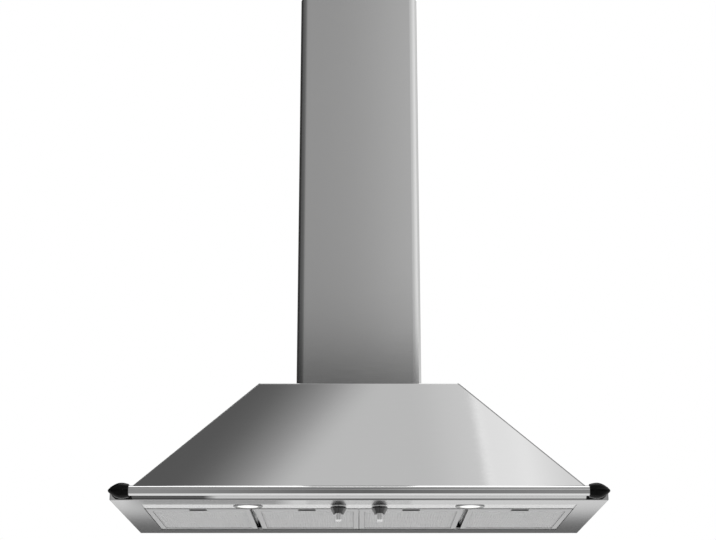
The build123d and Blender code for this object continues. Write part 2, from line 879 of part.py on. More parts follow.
def filter_mesh(x):
    """Mesh pack held in the frame's channels: pleated layers between two flat ones."""
    half = filter_width / 2 - filter_wall - mesh_gap
    y = (filter_front + filter_front_bar + mesh_gap, filter_rear - filter_wall - mesh_gap)
    low = filter_raise + filter_wall + mesh_gap
    high = filter_top - filter_wall - mesh_gap
    folds = 2 * round(half / mesh_pitch)
    step = 2 * half / folds
    levels = (low, high - mesh_sheet)
    lower = [(-half + index * step, levels[index % 2]) for index in range(folds + 1)]
    upper = [(px, pz + mesh_sheet) for px, pz in reversed(lower)]
    section = outline(*lower, *upper)
    for layer in ((low, low + mesh_skin), (high - mesh_skin, high)):
        section += outline((-half, layer[0]), (half, layer[0]), (half, layer[1]), (-half, layer[1]))
    return Pos(x, 0, 0) * prism_y(section, y)


def filter_catch(x):
    """Sliding plate with a tongue at the front and a finger rib in the frame's window."""
    half = catch_width / 2
    tongue_half = catch_tongue_width / 2
    plate_z = (catch_low, catch_high)
    shape = slab((-half, half), (catch_front, catch_front + catch_depth), plate_z)
    shape += slab((-tongue_half, tongue_half), (filter_front - catch_tongue_reach, catch_front), plate_z)
    rib_half = catch_rib_width / 2
    window_rear = filter_front + catch_window_from_front + catch_window_depth
    rib_rear = window_rear - catch_travel - catch_gap
    rib_z = (filter_raise + catch_rib_lift, catch_low)
    shape += slab((-rib_half, rib_half), (rib_rear - catch_rib_thickness, rib_rear), rib_z)
    return Pos(x, 0, 0) * shape


def catch_spring(x):
    """Bowed leaf between the catch and the web of the frame's front bar."""
    half = catch_tongue_width / 2
    flat = half * spring_flat_share
    near = catch_front + catch_depth + spring_end_gap + spring_sheet / 2
    far = filter_front + filter_front_bar - filter_wall - spring_end_gap - spring_sheet / 2
    leaf = trace(Polyline((-half, near), (-flat, far), (flat, far), (half, near)), spring_sheet)
    return Pos(x, 0, 0) * prism_z(leaf, (catch_low, catch_high))


# ------------------------------------------------------------------ blower
scroll_left = -scroll_width / 2
scroll_right = scroll_width / 2
scroll_top = canopy_ceiling - scroll_centre_z
plate_outer_face = scroll_left - scroll_sheet


def scroll_outline(inset):
    """Side view of the scroll about its axis: three quarter arcs that widen, then the outlet."""
    step = scroll_growth / 3
    radii = [scroll_start_radius + step * (quarter + 0.5) - inset for quarter in range(3)]
    centres = [(-step / 2, -step / 2), (step / 2, -step / 2), (step / 2, step / 2)]
    starts = (90, 180, 270)
    arcs = [CenterArc(centre, radius, start, 90) for centre, radius, start in zip(centres, radii, starts)]
    near = scroll_outlet_near + inset
    tongue_z = (arcs[0] @ 0).Y
    far_wall = Line(arcs[2] @ 1, ((arcs[2] @ 1).X, scroll_top))
    mouth = Line(far_wall @ 1, (near, scroll_top))
    tongue_radius = scroll_tongue_radius + inset
    near_wall = Line(mouth @ 1, (near, tongue_z + tongue_radius))
    tongue = CenterArc((near - tongue_radius, tongue_z + tongue_radius), tongue_radius, 0, -90)
    roof = Line(tongue @ 1, arcs[0] @ 0)
    return make_face(arcs[0] + arcs[1] + arcs[2] + far_wall + mouth + near_wall + tongue + roof)


def bell_mouth():
    """Flange and inward-curving lip of an inlet, about the z axis, flange up."""
    sheet = scroll_sheet
    lip = inlet_lip
    outer = inlet_radius + lip
    knee = inlet_radius + lip * inlet_knee
    knee_drop = lip * (inlet_knee + 1) * inlet_knee
    points = [
        (outer + inlet_flange, 0),
        (outer + inlet_flange, sheet),
        (outer, sheet),
        (knee, sheet - knee_drop),
        (inlet_radius, sheet - lip),
        (inlet_radius + sheet, sheet - lip),
        (knee + sheet, -knee_drop),
        (outer, 0),
    ]
    return turned(points)


def at_blower(shape):
    """Move a shape drawn about the x axis to the blower's axis."""
    return Pos(0, scroll_centre_y, scroll_centre_z) * shape


def on_side(shape, x, sign):
    """Turn a shape drawn about z so that its top faces along x, with its base at x."""
    return Pos(x, 0, 0) * Rot(0, sign * 90, 0) * shape


def blower_scroll():
    """Scroll housing with a pressed bell mouth on the right and a plain round hole on the left."""
    shape = prism_x(scroll_outline(0), (scroll_left, scroll_right))
    shape -= prism_x(scroll_outline(scroll_sheet), (scroll_left + scroll_sheet, scroll_right - scroll_sheet))
    mouth_x = (scroll_left + scroll_sheet, scroll_right - scroll_sheet)
    mouth_y = (scroll_outlet_near + scroll_sheet, scroll_start_radius + scroll_growth - scroll_sheet)
    mouth_z = (scroll_top - frame_sheet - overcut, scroll_top + overcut)
    shape -= slab(mouth_x, mouth_y, mouth_z)
    flange_y = flue_centre_y - scroll_centre_y
    half = outlet_plate / 2
    flange = slab((-half, half), (flange_y - half, flange_y + half), (scroll_top - frame_sheet, scroll_top))
    flange -= slab(mouth_x, mouth_y, mouth_z)
    shape += flange
    eye = inlet_radius + inlet_lip
    shape -= rod((0, 0, 0), (scroll_right + overcut, 0, 0), eye)
    shape -= rod((scroll_left - overcut, 0, 0), (0, 0, 0), wheel_radius + wheel_way_out)
    shape += on_side(bell_mouth(), scroll_right - scroll_sheet, 1)
    return drilled(at_blower(shape), collar_screws)


def inlet_plate():
    """Removable plate over the left side, with its own bell mouth and the wheel's way out."""
    cover = Circle(wheel_radius + inlet_plate_border) - Circle(inlet_radius + inlet_lip)
    shape = bell_mouth() + prism_z(cover, (0, scroll_sheet))
    return at_blower(on_side(shape, scroll_left, -1))


def motor_bracket():
    """Three-armed plate across the left inlet that carries the motor."""
    reach = wheel_radius + motor_arm_overlap
    star = Circle(motor_bracket_radius)
    for turn in (90, 210, 330):
        arm = Pos(reach / 2, 0) * Rectangle(reach, motor_arm_width)
        star += Rot(0, 0, turn) * arm
    star -= Circle(motor_bracket_bore)
    return at_blower(on_side(prism_z(star, (0, motor_bracket_sheet)), plate_outer_face, -1))


def motor():
    """Capacitor motor: body between two domed ends, with a bore for the shaft."""
    length = motor_length
    radius = motor_radius
    step = radius * motor_step
    low, high = (motor_dome[0], length - motor_dome[1])
    points = [
        (0, 0),
        (motor_face_radii[0], 0),
        (step, low),
        (radius, low),
        (radius, high),
        (step, high),
        (motor_face_radii[1], length),
        (0, length),
    ]
    body = turned(points)
    bore_start = length - shaft_in_motor - shaft_bore_spare
    body -= rod((0, 0, bore_start), (0, 0, length + overcut), shaft_radius + shaft_clearance)
    return at_blower(on_side(body, plate_outer_face, 1))


motor_end = plate_outer_face + motor_length
wheel_disc_x = motor_end + motor_to_wheel
wheel_middle = (scroll_left + scroll_right) / 2


def motor_shaft():
    """Steel shaft from inside the motor to the wheel's hub."""
    start = (motor_end - shaft_in_motor, 0, 0)
    return at_blower(rod(start, (wheel_disc_x + hub_length, 0, 0), shaft_radius))


def blade_section():
    """Strip bent forwards from the wheel's inner to its outer radius."""
    middle = (wheel_inner_radius + wheel_radius) / 2
    points = []
    for share, radius in ((0, wheel_inner_radius), (blade_bend, middle), (1, wheel_radius)):
        turn = math.radians(blade_sweep * share)
        points.append((radius * math.cos(turn), radius * math.sin(turn)))
    return trace(Polyline(*points), blade_sheet)


def impeller():
    """Double-width wheel: curved blades between end rings, on a dished disc with a hub."""
    turns = [360 * index / blade_count for index in range(blade_count)]
    blades = Sketch() + [Rot(0, 0, turn) * blade_section() for turn in turns]
    half = wheel_half_length
    shape = prism_x(blades, (wheel_middle - half, wheel_middle + half))
    ring = Circle(wheel_radius + wheel_ring_lap) - Circle(wheel_inner_radius + wheel_ring_inset)
    for x in (wheel_middle - half, wheel_middle + half - wheel_disc):
        shape += prism_x(ring, (x, x + wheel_disc))
    shape += prism_x(Circle(wheel_radius), (wheel_disc_x, wheel_disc_x + wheel_disc))
    shape += prism_x(Circle(hub_radius), (wheel_disc_x, wheel_disc_x + hub_length))
    bore_x = (wheel_disc_x - overcut, wheel_disc_x + hub_length + overcut)
    shape -= prism_x(Circle(shaft_radius + hub_bore_clearance), bore_x)
    return at_blower(shape)


# ------------------------------------------------------------------ outlet collar and damper
collar_centre = (0, flue_centre_y)
collar_top = canopy_top_height + collar_height
damper_z = canopy_top_height + damper_height
collar_inner = collar_outer_radius - collar_wall


def outlet_collar():
    """Square plate on the canopy's top with a round spigot and a seat for the flaps."""
    half = outlet_plate / 2
    plate_z = (canopy_top_height, canopy_top_height + collar_plate_sheet)
    shape = slab((-half, half), (flue_centre_y - half, flue_centre_y + half), plate_z)
    shape = fillet(shape.edges().filter_by(Axis.Z), outlet_plate_corner)
    bottom = (0, flue_centre_y, plate_z[0] - overcut)
    shape -= rod(bottom, (0, flue_centre_y, plate_z[1] + overcut), collar_inner)
    shape += tube(collar_centre, (plate_z[0], collar_top), collar_outer_radius, collar_inner)
    seat_top = damper_z - flap_sheet / 2 - flap_seat_gap
    seat_z = (seat_top - seat_ring_sheet, seat_top)
    shape += tube(collar_centre, seat_z, collar_outer_radius, seat_ring_radius)
    pin_hole = damper_pin_radius + damper_pin_fit
    shape -= rod((-half, flue_centre_y, damper_z), (half, flue_centre_y, damper_z), pin_hole)
    return drilled(shape, collar_screws)


def damper_pin():
    """Pin across the collar that both flaps turn on."""
    reach = collar_outer_radius - damper_pin_end_gap
    return rod((-reach, flue_centre_y, damper_z), (reach, flue_centre_y, damper_z), damper_pin_radius)


def damper_flap(side):
    """Half disc on its knuckles; side is -1 for the front one and 1 for the rear one."""
    disc = Circle(flap_radius)
    keep = Pos(0, side * (flap_inner_edge + flap_radius / 2)) * Rectangle(2 * flap_radius, flap_radius)
    half_z = flap_sheet / 2
    shape = prism_z(disc & keep, (-half_z, half_z))
    pitch = knuckle_length + knuckle_gap
    first = -1.5 * pitch if side < 0 else -0.5 * pitch
    inner = side * (damper_pin_radius + knuckle_web)
    outer = side * (flap_inner_edge + knuckle_lap)
    bore = Circle(damper_pin_radius + damper_pin_clearance)
    for middle in (first, first + 2 * pitch):
        span = (middle - knuckle_length / 2, middle + knuckle_length / 2)
        shape += slab(span, sorted((inner, outer)), (-half_z, half_z))
        shape += prism_x(Circle(knuckle_radius), span)
        shape -= prism_x(bore, (span[0] - knuckle_gap / 2, span[1] + knuckle_gap / 2))
    return Pos(0, flue_centre_y, damper_z) * shape


# ------------------------------------------------------------------ electrical pieces
def terminal_box():
    """Moulded box on the rear panel, with a lid line and a cable entry on top."""
    width, depth, height = terminal_box_size
    x = (terminal_box_x - width / 2, terminal_box_x + width / 2)
    y = (-panel_sheet - depth, -panel_sheet)
    z = (terminal_box_z, terminal_box_z + height)
    shape = slab(x, y, z)
    shape = chamfer(shape.edges().filter_by(Axis.Y), terminal_box_corner)
    groove = terminal_groove
    lid = y[0] + terminal_lid_depth
    around = slab((x[0] - overcut, x[1] + overcut), (lid, lid + groove), (z[0] - overcut, z[1] + overcut))
    core = slab((x[0] + groove, x[1] - groove), (lid, lid + groove), (z[0] + groove, z[1] - groove))
    shape -= around - core
    spout_radius, spout_length = terminal_spout
    spout_y = -panel_sheet - depth / 2 + terminal_spout_offset
    spout = (terminal_box_x, spout_y, z[1])
    return shape + rod(spout, (terminal_box_x, spout_y, z[1] + spout_length), spout_radius)


def capacitor():
    """Round capacitor standing off the rear panel on its foot."""
    foot_radius, foot_length = capacitor_foot
    seat = (capacitor_x, -panel_sheet, capacitor_z)
    start = (capacitor_x, -panel_sheet - foot_length, capacitor_z)
    end = (capacitor_x, -panel_sheet - capacitor_length, capacitor_z)
    body = rod(start, end, capacitor_radius)
    far_end = body.faces().sort_by(Axis.Y)[0]
    return chamfer(far_end.edges(), capacitor_edge) + rod(seat, start, foot_radius)


def cable_gland():
    """Gland in the canopy's top, beside the collar, where the mains cable comes in."""
    span = (canopy_ceiling - gland_below, canopy_top_height + gland_above)
    body = prism_z(Circle(gland_radius - gland_clearance) - Circle(gland_bore), span)
    nut = RegularPolygon(gland_radius + gland_nut_wall, 6) - Circle(gland_bore)
    for z in (canopy_top_height, canopy_ceiling - gland_nut_height):
        body += prism_z(nut, (z, z + gland_nut_height))
    return Pos(gland_x, gland_y, 0) * body


# ------------------------------------------------------------------ writing the nodes
save("base_frame", base_frame())
save("canopy_shell", canopy_shell())
save("rear_panel", rear_panel())
save("lower_flue", lower_flue())
save("upper_flue", upper_flue())
save("flue_bracket", flue_bracket())
save("control_strip", control_strip())
bar_reach = filter_middles()[3] - filter_width / 2 - filter_divider_gap / 2
for bar_name, bar_x in zip(("left", "centre", "right"), (-bar_reach, 0, bar_reach)):
    save(f"stay_bar_{bar_name}", stay_bar(bar_x))
save("hand_rail", hand_rail())
save("rail_end_left", rail_end(-1))
save("rail_end_right", rail_end(1))
for control, control_x in (("light", -knob_spacing / 2), ("fan", knob_spacing / 2)):
    save(f"{control}_knob", knob(control_x))
    save(f"{control}_bezel", knob_bezel(control_x))
    save(f"{control}_switch", rotary_switch(control_x))
    save(f"{control}_spindle", switch_spindle(control_x))
for side, lamp_x in mirrored_pair(lamp_spacing / 2):
    save(f"lamp_ring_{side}", lamp_ring(lamp_x))
    save(f"lamp_glass_{side}", lamp_glass(lamp_x))
    save(f"lamp_can_{side}", lamp_can(lamp_x))
    save(f"lamp_bulb_{side}", lamp_bulb(lamp_x))
for number, filter_x in enumerate(filter_middles(), start=1):
    save(f"filter_frame_{number}", filter_frame(filter_x))
    save(f"filter_mesh_{number}", filter_mesh(filter_x))
    save(f"filter_catch_{number}", filter_catch(filter_x))
    save(f"catch_spring_{number}", catch_spring(filter_x))
save("blower_scroll", blower_scroll())
save("inlet_plate", inlet_plate())
save("motor_bracket", motor_bracket())
save("motor", motor())
save("motor_shaft", motor_shaft())
save("impeller", impeller())
save("outlet_collar", outlet_collar())
save("damper_pin", damper_pin())
save("damper_flap_front", damper_flap(-1))
save("damper_flap_rear", damper_flap(1))
save("terminal_box", terminal_box())
save("capacitor", capacitor())
save("cable_gland", cable_gland())
screw_places = rail_screws + panel_screws + collar_screws + flue_screws
save("screws", Compound([screw(*place) for place in screw_places]))
save("bracket_screws", Compound([screw(*place) for place in bracket_screw_places()]))
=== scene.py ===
"""Looks of the wall chimney hood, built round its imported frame.

Blender works in metres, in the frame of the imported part: x to the right, y towards the wall, z up.
Sizes below are written in millimetres and scaled when a piece is finished.
"""

import json
import math

import bmesh
import bpy
from mathutils import Matrix, Vector


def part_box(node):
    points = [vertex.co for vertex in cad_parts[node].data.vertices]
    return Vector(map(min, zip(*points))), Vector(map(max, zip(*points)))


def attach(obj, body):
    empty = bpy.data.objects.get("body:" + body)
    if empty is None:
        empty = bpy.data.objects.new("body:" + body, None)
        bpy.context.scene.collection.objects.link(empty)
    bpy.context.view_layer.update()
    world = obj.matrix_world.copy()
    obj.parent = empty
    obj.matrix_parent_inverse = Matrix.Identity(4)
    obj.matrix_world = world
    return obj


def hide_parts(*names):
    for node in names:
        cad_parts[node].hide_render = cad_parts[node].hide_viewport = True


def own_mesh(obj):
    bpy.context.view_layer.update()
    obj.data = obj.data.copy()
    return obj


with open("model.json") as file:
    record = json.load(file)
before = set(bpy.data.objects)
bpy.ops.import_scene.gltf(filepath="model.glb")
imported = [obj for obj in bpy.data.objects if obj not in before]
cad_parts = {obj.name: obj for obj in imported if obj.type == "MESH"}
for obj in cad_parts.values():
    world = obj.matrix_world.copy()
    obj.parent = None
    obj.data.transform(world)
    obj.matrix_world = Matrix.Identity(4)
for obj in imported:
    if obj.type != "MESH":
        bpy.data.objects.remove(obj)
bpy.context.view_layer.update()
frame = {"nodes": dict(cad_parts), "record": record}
nodes = frame["nodes"]
scene = bpy.context.scene
collection = scene.collection

METRE = 0.001
FULL_TURN = 2 * math.pi


# ------------------------------------------------------------------ shader sums
class Signal:
    """A socket whose sums are written as plain Python."""

    def __init__(self, finish, socket):
        self.finish = finish
        self.socket = socket

    def _sum(self, operation, first, second):
        return self.finish.node("ShaderNodeMath", {"operation": operation}, {0: first, 1: second})

    def __add__(self, other):
        return self._sum("ADD", self, other)

    def __radd__(self, other):
        return self._sum("ADD", other, self)

    def __sub__(self, other):
        return self._sum("SUBTRACT", self, other)

    def __rsub__(self, other):
        return self._sum("SUBTRACT", other, self)

    def __mul__(self, other):
        return self._sum("MULTIPLY", self, other)

    def __rmul__(self, other):
        return self._sum("MULTIPLY", other, self)

    def __truediv__(self, other):
        return self._sum("DIVIDE", self, other)

    def __rtruediv__(self, other):
        return self._sum("DIVIDE", other, self)


class Finish:
    """A material, or the world, under construction."""

    def __init__(self, name, world=False):
        self.ending = "ShaderNodeOutputWorld" if world else "ShaderNodeOutputMaterial"
        self.owner = (bpy.data.worlds if world else bpy.data.materials).new(name)
        self.owner.use_nodes = True
        self.tree = self.owner.node_tree
        self.tree.nodes.clear()

    def node(self, kind, settings=None, inputs=None, output=0):
        """Adds a node: its settings first, then the values or links of its sockets."""
        made = self.tree.nodes.new(kind)
        for key, value in (settings or {}).items():
            if key == "stops":
                self._set_stops(made.color_ramp, value)
            else:
                setattr(made, key, value)
        for key, value in (inputs or {}).items():
            socket = made.inputs[key]
            if isinstance(value, Signal):
                self.tree.links.new(value.socket, socket)
            else:
                socket.default_value = value
        return Signal(self, made.outputs[output]) if made.outputs else made

    @staticmethod
    def _set_stops(ramp, stops):
        middle = [ramp.elements.new(place) for place, tone in stops[1:-1]]
        for element, (place, tone) in zip((ramp.elements[0], *middle, ramp.elements[-1]), stops):
            element.position = place
            element.color = grey(tone)

    def place(self, scale=(1, 1, 1)):
        """The point of the surface in the piece's own frame, scaled for a pattern."""
        point = self.node("ShaderNodeTexCoord", output="Object")
        return self.node("ShaderNodeMapping", {}, {"Vector": point, "Scale": scale})

    def noise(self, scale, detail=2.0, stretch=(1, 1, 1), roughness=0.5):
        """Noise from 0 to 1, finer along the axes that have a larger stretch."""
        inputs = {"Vector": self.place(stretch), "Scale": scale, "Detail": detail}
        return self.node("ShaderNodeTexNoise", {}, {**inputs, "Roughness": roughness})

    def axes(self, source):
        """The x, y and z parts of a vector."""
        split = self.node("ShaderNodeSeparateXYZ", {}, {0: source}).socket.node
        return [Signal(self, split.outputs[axis]) for axis in "XYZ"]

    def own_axes(self):
        """The place of the surface in the piece's own frame, in metres."""
        return self.axes(self.node("ShaderNodeTexCoord", output="Object"))

    def facing(self):
        """The parts of the surface's outward direction."""
        return self.axes(self.node("ShaderNodeNewGeometry", output="Normal"))

    def fade(self, factor, first, second):
        """The first value where the factor is 0, the second where it is 1."""
        return first * (1 - factor) + factor * second

    def spread(self, signal, low, high):
        """A signal from 0 to 1 spread between two values."""
        return signal * (high - low) + low

    def curve(self, signal, points, top=1.0):
        """A signal bent through (value, result) points; top scales results over 1."""
        low, high = points[0][0], points[-1][0]
        stops = [((value - low) / (high - low), float(result) / top) for value, result in points]
        share = (signal - low) / (high - low)
        return self.node("ShaderNodeValToRGB", {"stops": stops}, {0: share}) * top

    def blend(self, factor, first, second):
        """A mix of two colours."""
        inputs = {"Factor": factor, 6: first, 7: second}
        return self.node("ShaderNodeMix", {"data_type": "RGBA"}, inputs, output=2)

    def bump(self, height, strength, distance):
        """A normal from a height."""
        inputs = {"Height": height, "Strength": strength, "Distance": distance}
        return self.node("ShaderNodeBump", {}, inputs)

    def surface(self, **inputs):
        """Ends the material in one Principled shader; words stand for its sockets."""
        named = {key.replace("_", " "): value for key, value in inputs.items()}
        return self.end(self.node("ShaderNodeBsdfPrincipled", {}, named, output="BSDF"))

    def end(self, shader):
        """Links the last shader and gives back the material or world."""
        self.node(self.ending, {}, {"Surface": shader})
        return self.owner


def grey(value):
    """A neutral colour."""
    return (value, value, value, 1)


# ------------------------------------------------------------------ finishes
STEEL_TONE = 0.70
# Lighter colour of the rim's front lip: a painted highlight.
PAINTED_LIP_HIGHLIGHT_TONE = 0.8
BRUSHED_ALONG_X = (14, 1100, 1100)
BRUSH_DEPTH = 0.0003
GRAIN_DEPTH = 0.0002
CANOPY_TOP_HALF = 240.0
CANOPY_TOP_FRONT = -284.0
SEAM_TONE = 0.26
SEAM_WIDTH = 0.004
SEAM_FADE = 0.0055
canopy_low, canopy_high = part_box("canopy_shell")


def brush_lines(f):
    """Fine lines drawn along x."""
    return f.noise(1.0, 3.0, BRUSHED_ALONG_X, 0.65)


def brushed_sheet(name, roughness, mark=0.05, tone=STEEL_TONE):
    """Stainless sheet; mark is how far its brush lines differ in tone."""
    f = Finish(name)
    lines = brush_lines(f)
    clouds = f.noise(4.0, 3.0)
    light = tone * (1 + mark)
    colour = f.blend(lines, grey(tone * (1 - mark)), (light, light, tone * (1 + mark * 0.8), 1))
    rough = f.spread(lines, roughness - 0.04, roughness + 0.04) + (clouds - 0.5) * 0.04
    normal = f.bump(lines, 0.06, BRUSH_DEPTH)
    return f.surface(Base_Color=colour, Metallic=1.0, Roughness=rough, Normal=normal)


def canopy_sheet(name, roughness, mark):
    """Brushed sheet with a matt, darker seam where the front meets each side."""
    f = Finish(name)
    lines = brush_lines(f)
    colour = f.blend(lines, grey(STEEL_TONE * (1 - mark)), grey(STEEL_TONE * (1 + mark)))
    across, depth, height = f.own_axes()
    rise = f.curve(height, [(canopy_low[2], 0.0), (canopy_high[2], 1.0)])
    half = canopy_high[0] - rise * (canopy_high[0] - CANOPY_TOP_HALF * METRE)
    front = canopy_low[1] - rise * (canopy_low[1] - CANOPY_TOP_FRONT * METRE)
    beside = f.node("ShaderNodeMath", {"operation": "ABSOLUTE"}, {0: across}) - half
    near_side = f.curve(beside, [(-SEAM_FADE, 0.0), (-SEAM_WIDTH, 1.0)])
    near_front = f.curve(depth - front, [(SEAM_WIDTH, 1.0), (SEAM_FADE, 0.0)])
    seam = near_side * near_front
    return f.surface(
        Base_Color=f.blend(seam, colour, grey(SEAM_TONE)),
        Metallic=1.0,
        Roughness=f.spread(lines, roughness * 0.6, roughness * 1.4) + seam * 0.2,
        Normal=f.bump(lines, 0.02, BRUSH_DEPTH),
    )


def rim_sheet(name, roughness, polished, tone):
    """Brushed sheet, polished on its front lip, where its lighter colour is a painted highlight;
    polished below, but matt near the knobs.
    """
    f = Finish(name)
    lines = brush_lines(f)
    _, forward, upward = f.facing()
    across, depth, _ = f.own_axes()
    lip_polish_and_painted_highlight = f.curve(forward, [(-0.9, 1.0), (-0.7, 0.0)])
    matt = f.curve(depth, [(-0.44, 1.0), (-0.36, 0.0)])
    matt = matt * f.curve(across, [(-0.12, 0.0), (-0.09, 1.0), (0.09, 1.0), (0.12, 0.0)])
    smooth = f.curve(upward, [(-0.95, 1.0), (-0.8, 0.0)]) * (1 - matt)
    sheen = lip_polish_and_painted_highlight + smooth * (1 - lip_polish_and_painted_highlight)
    colour = f.blend(lines, grey(tone * 0.98), grey(tone * 1.02))
    return f.surface(
        # The front lip's lighter colour is a painted highlight; its polish is real roughness.
        Base_Color=f.blend(lip_polish_and_painted_highlight, colour, grey(PAINTED_LIP_HIGHLIGHT_TONE)),
        Metallic=1.0,
        Roughness=f.fade(sheen, f.spread(lines, roughness - 0.03, roughness + 0.03), polished),
        Normal=f.bump(lines * (1 - sheen), 0.05, BRUSH_DEPTH),
    )


def hazed(f, tone, roughness):
    """The colour and roughness of bright metal with faint handling haze."""
    haze = f.noise(60.0, 3.0)
    colour = f.blend(haze, grey(tone * 0.97), grey(tone * 1.02))
    return colour, f.spread(haze, roughness * 0.6, roughness * 1.5)


def bright_metal(name, tone, roughness, metallic=1.0):
    """Polished or plated metal."""
    f = Finish(name)
    colour, rough = hazed(f, tone, roughness)
    return f.surface(Base_Color=colour, Metallic=metallic, Roughness=rough)


def polished_tube(name, tone, roughness):
    """Polished tube, painted dark on the left part of the side that the front lip mirrors, so the
    lip shows a painted dark reflection.
    """
    f = Finish(name)
    colour, rough = hazed(f, tone, roughness)
    _, towards_rim, _ = f.facing()
    across, _, _ = f.own_axes()
    painted_dark_reflection = f.curve(towards_rim, [(0.24, 0.0), (0.34, 1.0)])
    painted_dark_reflection = painted_dark_reflection * f.curve(across, [(-0.345, 1.0), (-0.315, 0.0)])
    # Painted reflection: the tube's back is coloured dark on the left so that the front lip mirrors
    # it dark.
    return f.surface(Base_Color=f.blend(painted_dark_reflection, colour, grey(0.12)), Metallic=1.0, Roughness=rough)


def gloss_black(name):
    """Gloss black moulding."""
    f = Finish(name)
    haze = f.noise(90.0, 2.0)
    return f.surface(
        Base_Color=f.blend(haze, grey(0.002), grey(0.004)),
        Roughness=f.spread(haze, 0.16, 0.24),
        Specular_IOR_Level=0.12,
    )


def galvanised(name):
    """Zinc-coated sheet with its crystal flowers."""
    f = Finish(name)
    cells = {"Vector": f.place(), "Scale": 75.0}
    flowers = f.node("ShaderNodeTexVoronoi", {}, cells, output="Color")
    flake = f.node("ShaderNodeSeparateColor", {}, {0: flowers})
    colour = f.blend(flake, (0.46, 0.47, 0.49, 1), (0.64, 0.65, 0.66, 1))
    return f.surface(Base_Color=colour, Metallic=0.9, Roughness=f.spread(flake, 0.32, 0.5))


def zinc_steel(name):
    """Zinc-plated pins, screws and springs."""
    f = Finish(name)
    haze = f.noise(200.0, 3.0)
    colour = f.blend(haze, (0.50, 0.51, 0.53, 1), (0.66, 0.66, 0.66, 1))
    return f.surface(Base_Color=colour, Metallic=1.0, Roughness=f.spread(haze, 0.22, 0.36))


def turned_brass(name):
    """Turned brass."""
    f = Finish(name)
    haze = f.noise(150.0, 3.0, (1, 1, 6))
    colour = f.blend(haze, (0.60, 0.42, 0.16, 1), (0.76, 0.58, 0.28, 1))
    return f.surface(Base_Color=colour, Metallic=1.0, Roughness=f.spread(haze, 0.18, 0.32))


def lamp_lens(name):
    """Frosted glass over a lit reflector."""
    f = Finish(name)
    frost = f.noise(500.0, 2.0)
    return f.surface(
        Base_Color=f.blend(frost, grey(0.86), grey(0.95)),
        Roughness=f.spread(frost, 0.12, 0.28),
        Emission_Color=(1, 1, 0.97, 1),
        Emission_Strength=0.45,
    )


def satin_aluminium(name, tone):
    """Rolled aluminium with fine rolling lines."""
    f = Finish(name)
    lines = f.noise(1.0, 3.0, (900, 60, 900))
    colour = f.blend(lines, grey(tone * 0.95), grey(tone * 1.04))
    return f.surface(Base_Color=colour, Metallic=1.0, Roughness=f.spread(lines, 0.26, 0.36))


def mesh_aluminium(name, tone):
    """Expanded aluminium foil, a little uneven."""
    f = Finish(name)
    cloud = f.noise(40.0, 3.0)
    colour = f.blend(cloud, grey(tone * 0.92), grey(tone * 1.02))
    return f.surface(Base_Color=colour, Metallic=0.6, Roughness=f.spread(cloud, 0.32, 0.44))


def moulded_plastic(name, colour, roughness=0.45):
    """Moulding with the fine grain of its tool."""
    f = Finish(name)
    grain = f.noise(1200.0, 2.0)
    cloud = f.noise(30.0, 2.0)
    dark = tuple(part * 0.85 for part in colour) + (1,)
    tint = f.blend(cloud, dark, (*colour, 1))
    rough = f.spread(cloud, roughness - 0.06, roughness + 0.06)
    return f.surface(Base_Color=tint, Roughness=rough, Normal=f.bump(grain, 0.15, GRAIN_DEPTH))


def motor_lacquer(name):
    """Grey lacquer over a laminated motor."""
    f = Finish(name)
    peel = f.noise(500.0, 2.0)
    cloud = f.noise(25.0, 3.0)
    tint = f.blend(cloud, (0.16, 0.17, 0.18, 1), (0.22, 0.23, 0.24, 1))
    rough = f.spread(cloud, 0.3, 0.45)
    return f.surface(Base_Color=tint, Roughness=rough, Normal=f.bump(peel, 0.2, GRAIN_DEPTH))


finishes = {
    "stainless": brushed_sheet("stainless_sheet", 0.20),
    "flue_stainless": brushed_sheet("flue_sheet", 0.12, 0.03),
    "canopy_stainless": canopy_sheet("canopy_sheet", 0.022, 0.025),
    "rim_stainless": rim_sheet("rim_sheet", 0.20, 0.05, 0.47),
    "strip_stainless": brushed_sheet("strip_sheet", 0.26, 0.02, 0.84),
    # Chrome given a dark colour that paints the dark reflections of the knob skirts and lamp rings.
    "chrome_painted_dark_reflection": bright_metal("chrome_painted_dark_reflection", 0.16, 0.08),
    "bright_tube": polished_tube("polished_tube", 0.75, 0.07),
    "bar_stainless": bright_metal("bar_sheet", 0.95, 0.6, 0.8),
    "grip_chrome": bright_metal("grip_chrome", 0.95, 0.12, 0.55),
    "black_cap": gloss_black("black_cap"),
    "galvanised": galvanised("galvanised_sheet"),
    "chrome_trim": bright_metal("chrome_trim", 0.80, 0.05),
    "steel_pin": zinc_steel("zinc_steel"),
    "brass": turned_brass("turned_brass"),
    "lamp_glass": lamp_lens("lamp_lens"),
    "bulb": moulded_plastic("bulb_ceramic", (0.85, 0.83, 0.78), 0.3),
    "filter_aluminium": satin_aluminium("filter_aluminium", 0.46),
    "filter_mesh": mesh_aluminium("filter_mesh", 0.9),
    "black_plastic": moulded_plastic("black_moulding", (0.02, 0.02, 0.021)),
    "white_plastic": moulded_plastic("white_moulding", (0.75, 0.75, 0.72), 0.35),
    "motor_paint": motor_lacquer("motor_lacquer"),
}
special_finish = {
    "lower_flue": "flue_stainless",
    "upper_flue": "flue_stainless",
    "canopy_shell": "canopy_stainless",
    "base_frame": "rim_stainless",
    "control_strip": "strip_stainless",
    "stay_bar_left": "bar_stainless",
    "stay_bar_right": "bar_stainless",
    "light_knob": "grip_chrome",
    "fan_knob": "grip_chrome",
    # The lamp rings take the chrome whose dark colour is a painted reflection.
    "lamp_ring_left": "chrome_painted_dark_reflection",
    "lamp_ring_right": "chrome_painted_dark_reflection",
}
record = frame["record"]
slot_of = {subpart["node"]: subpart["material_slot"] for subpart in record["subparts"]}
body_of = {name: body for body, names in record["behaviour"]["bodies"].items() for name in names}
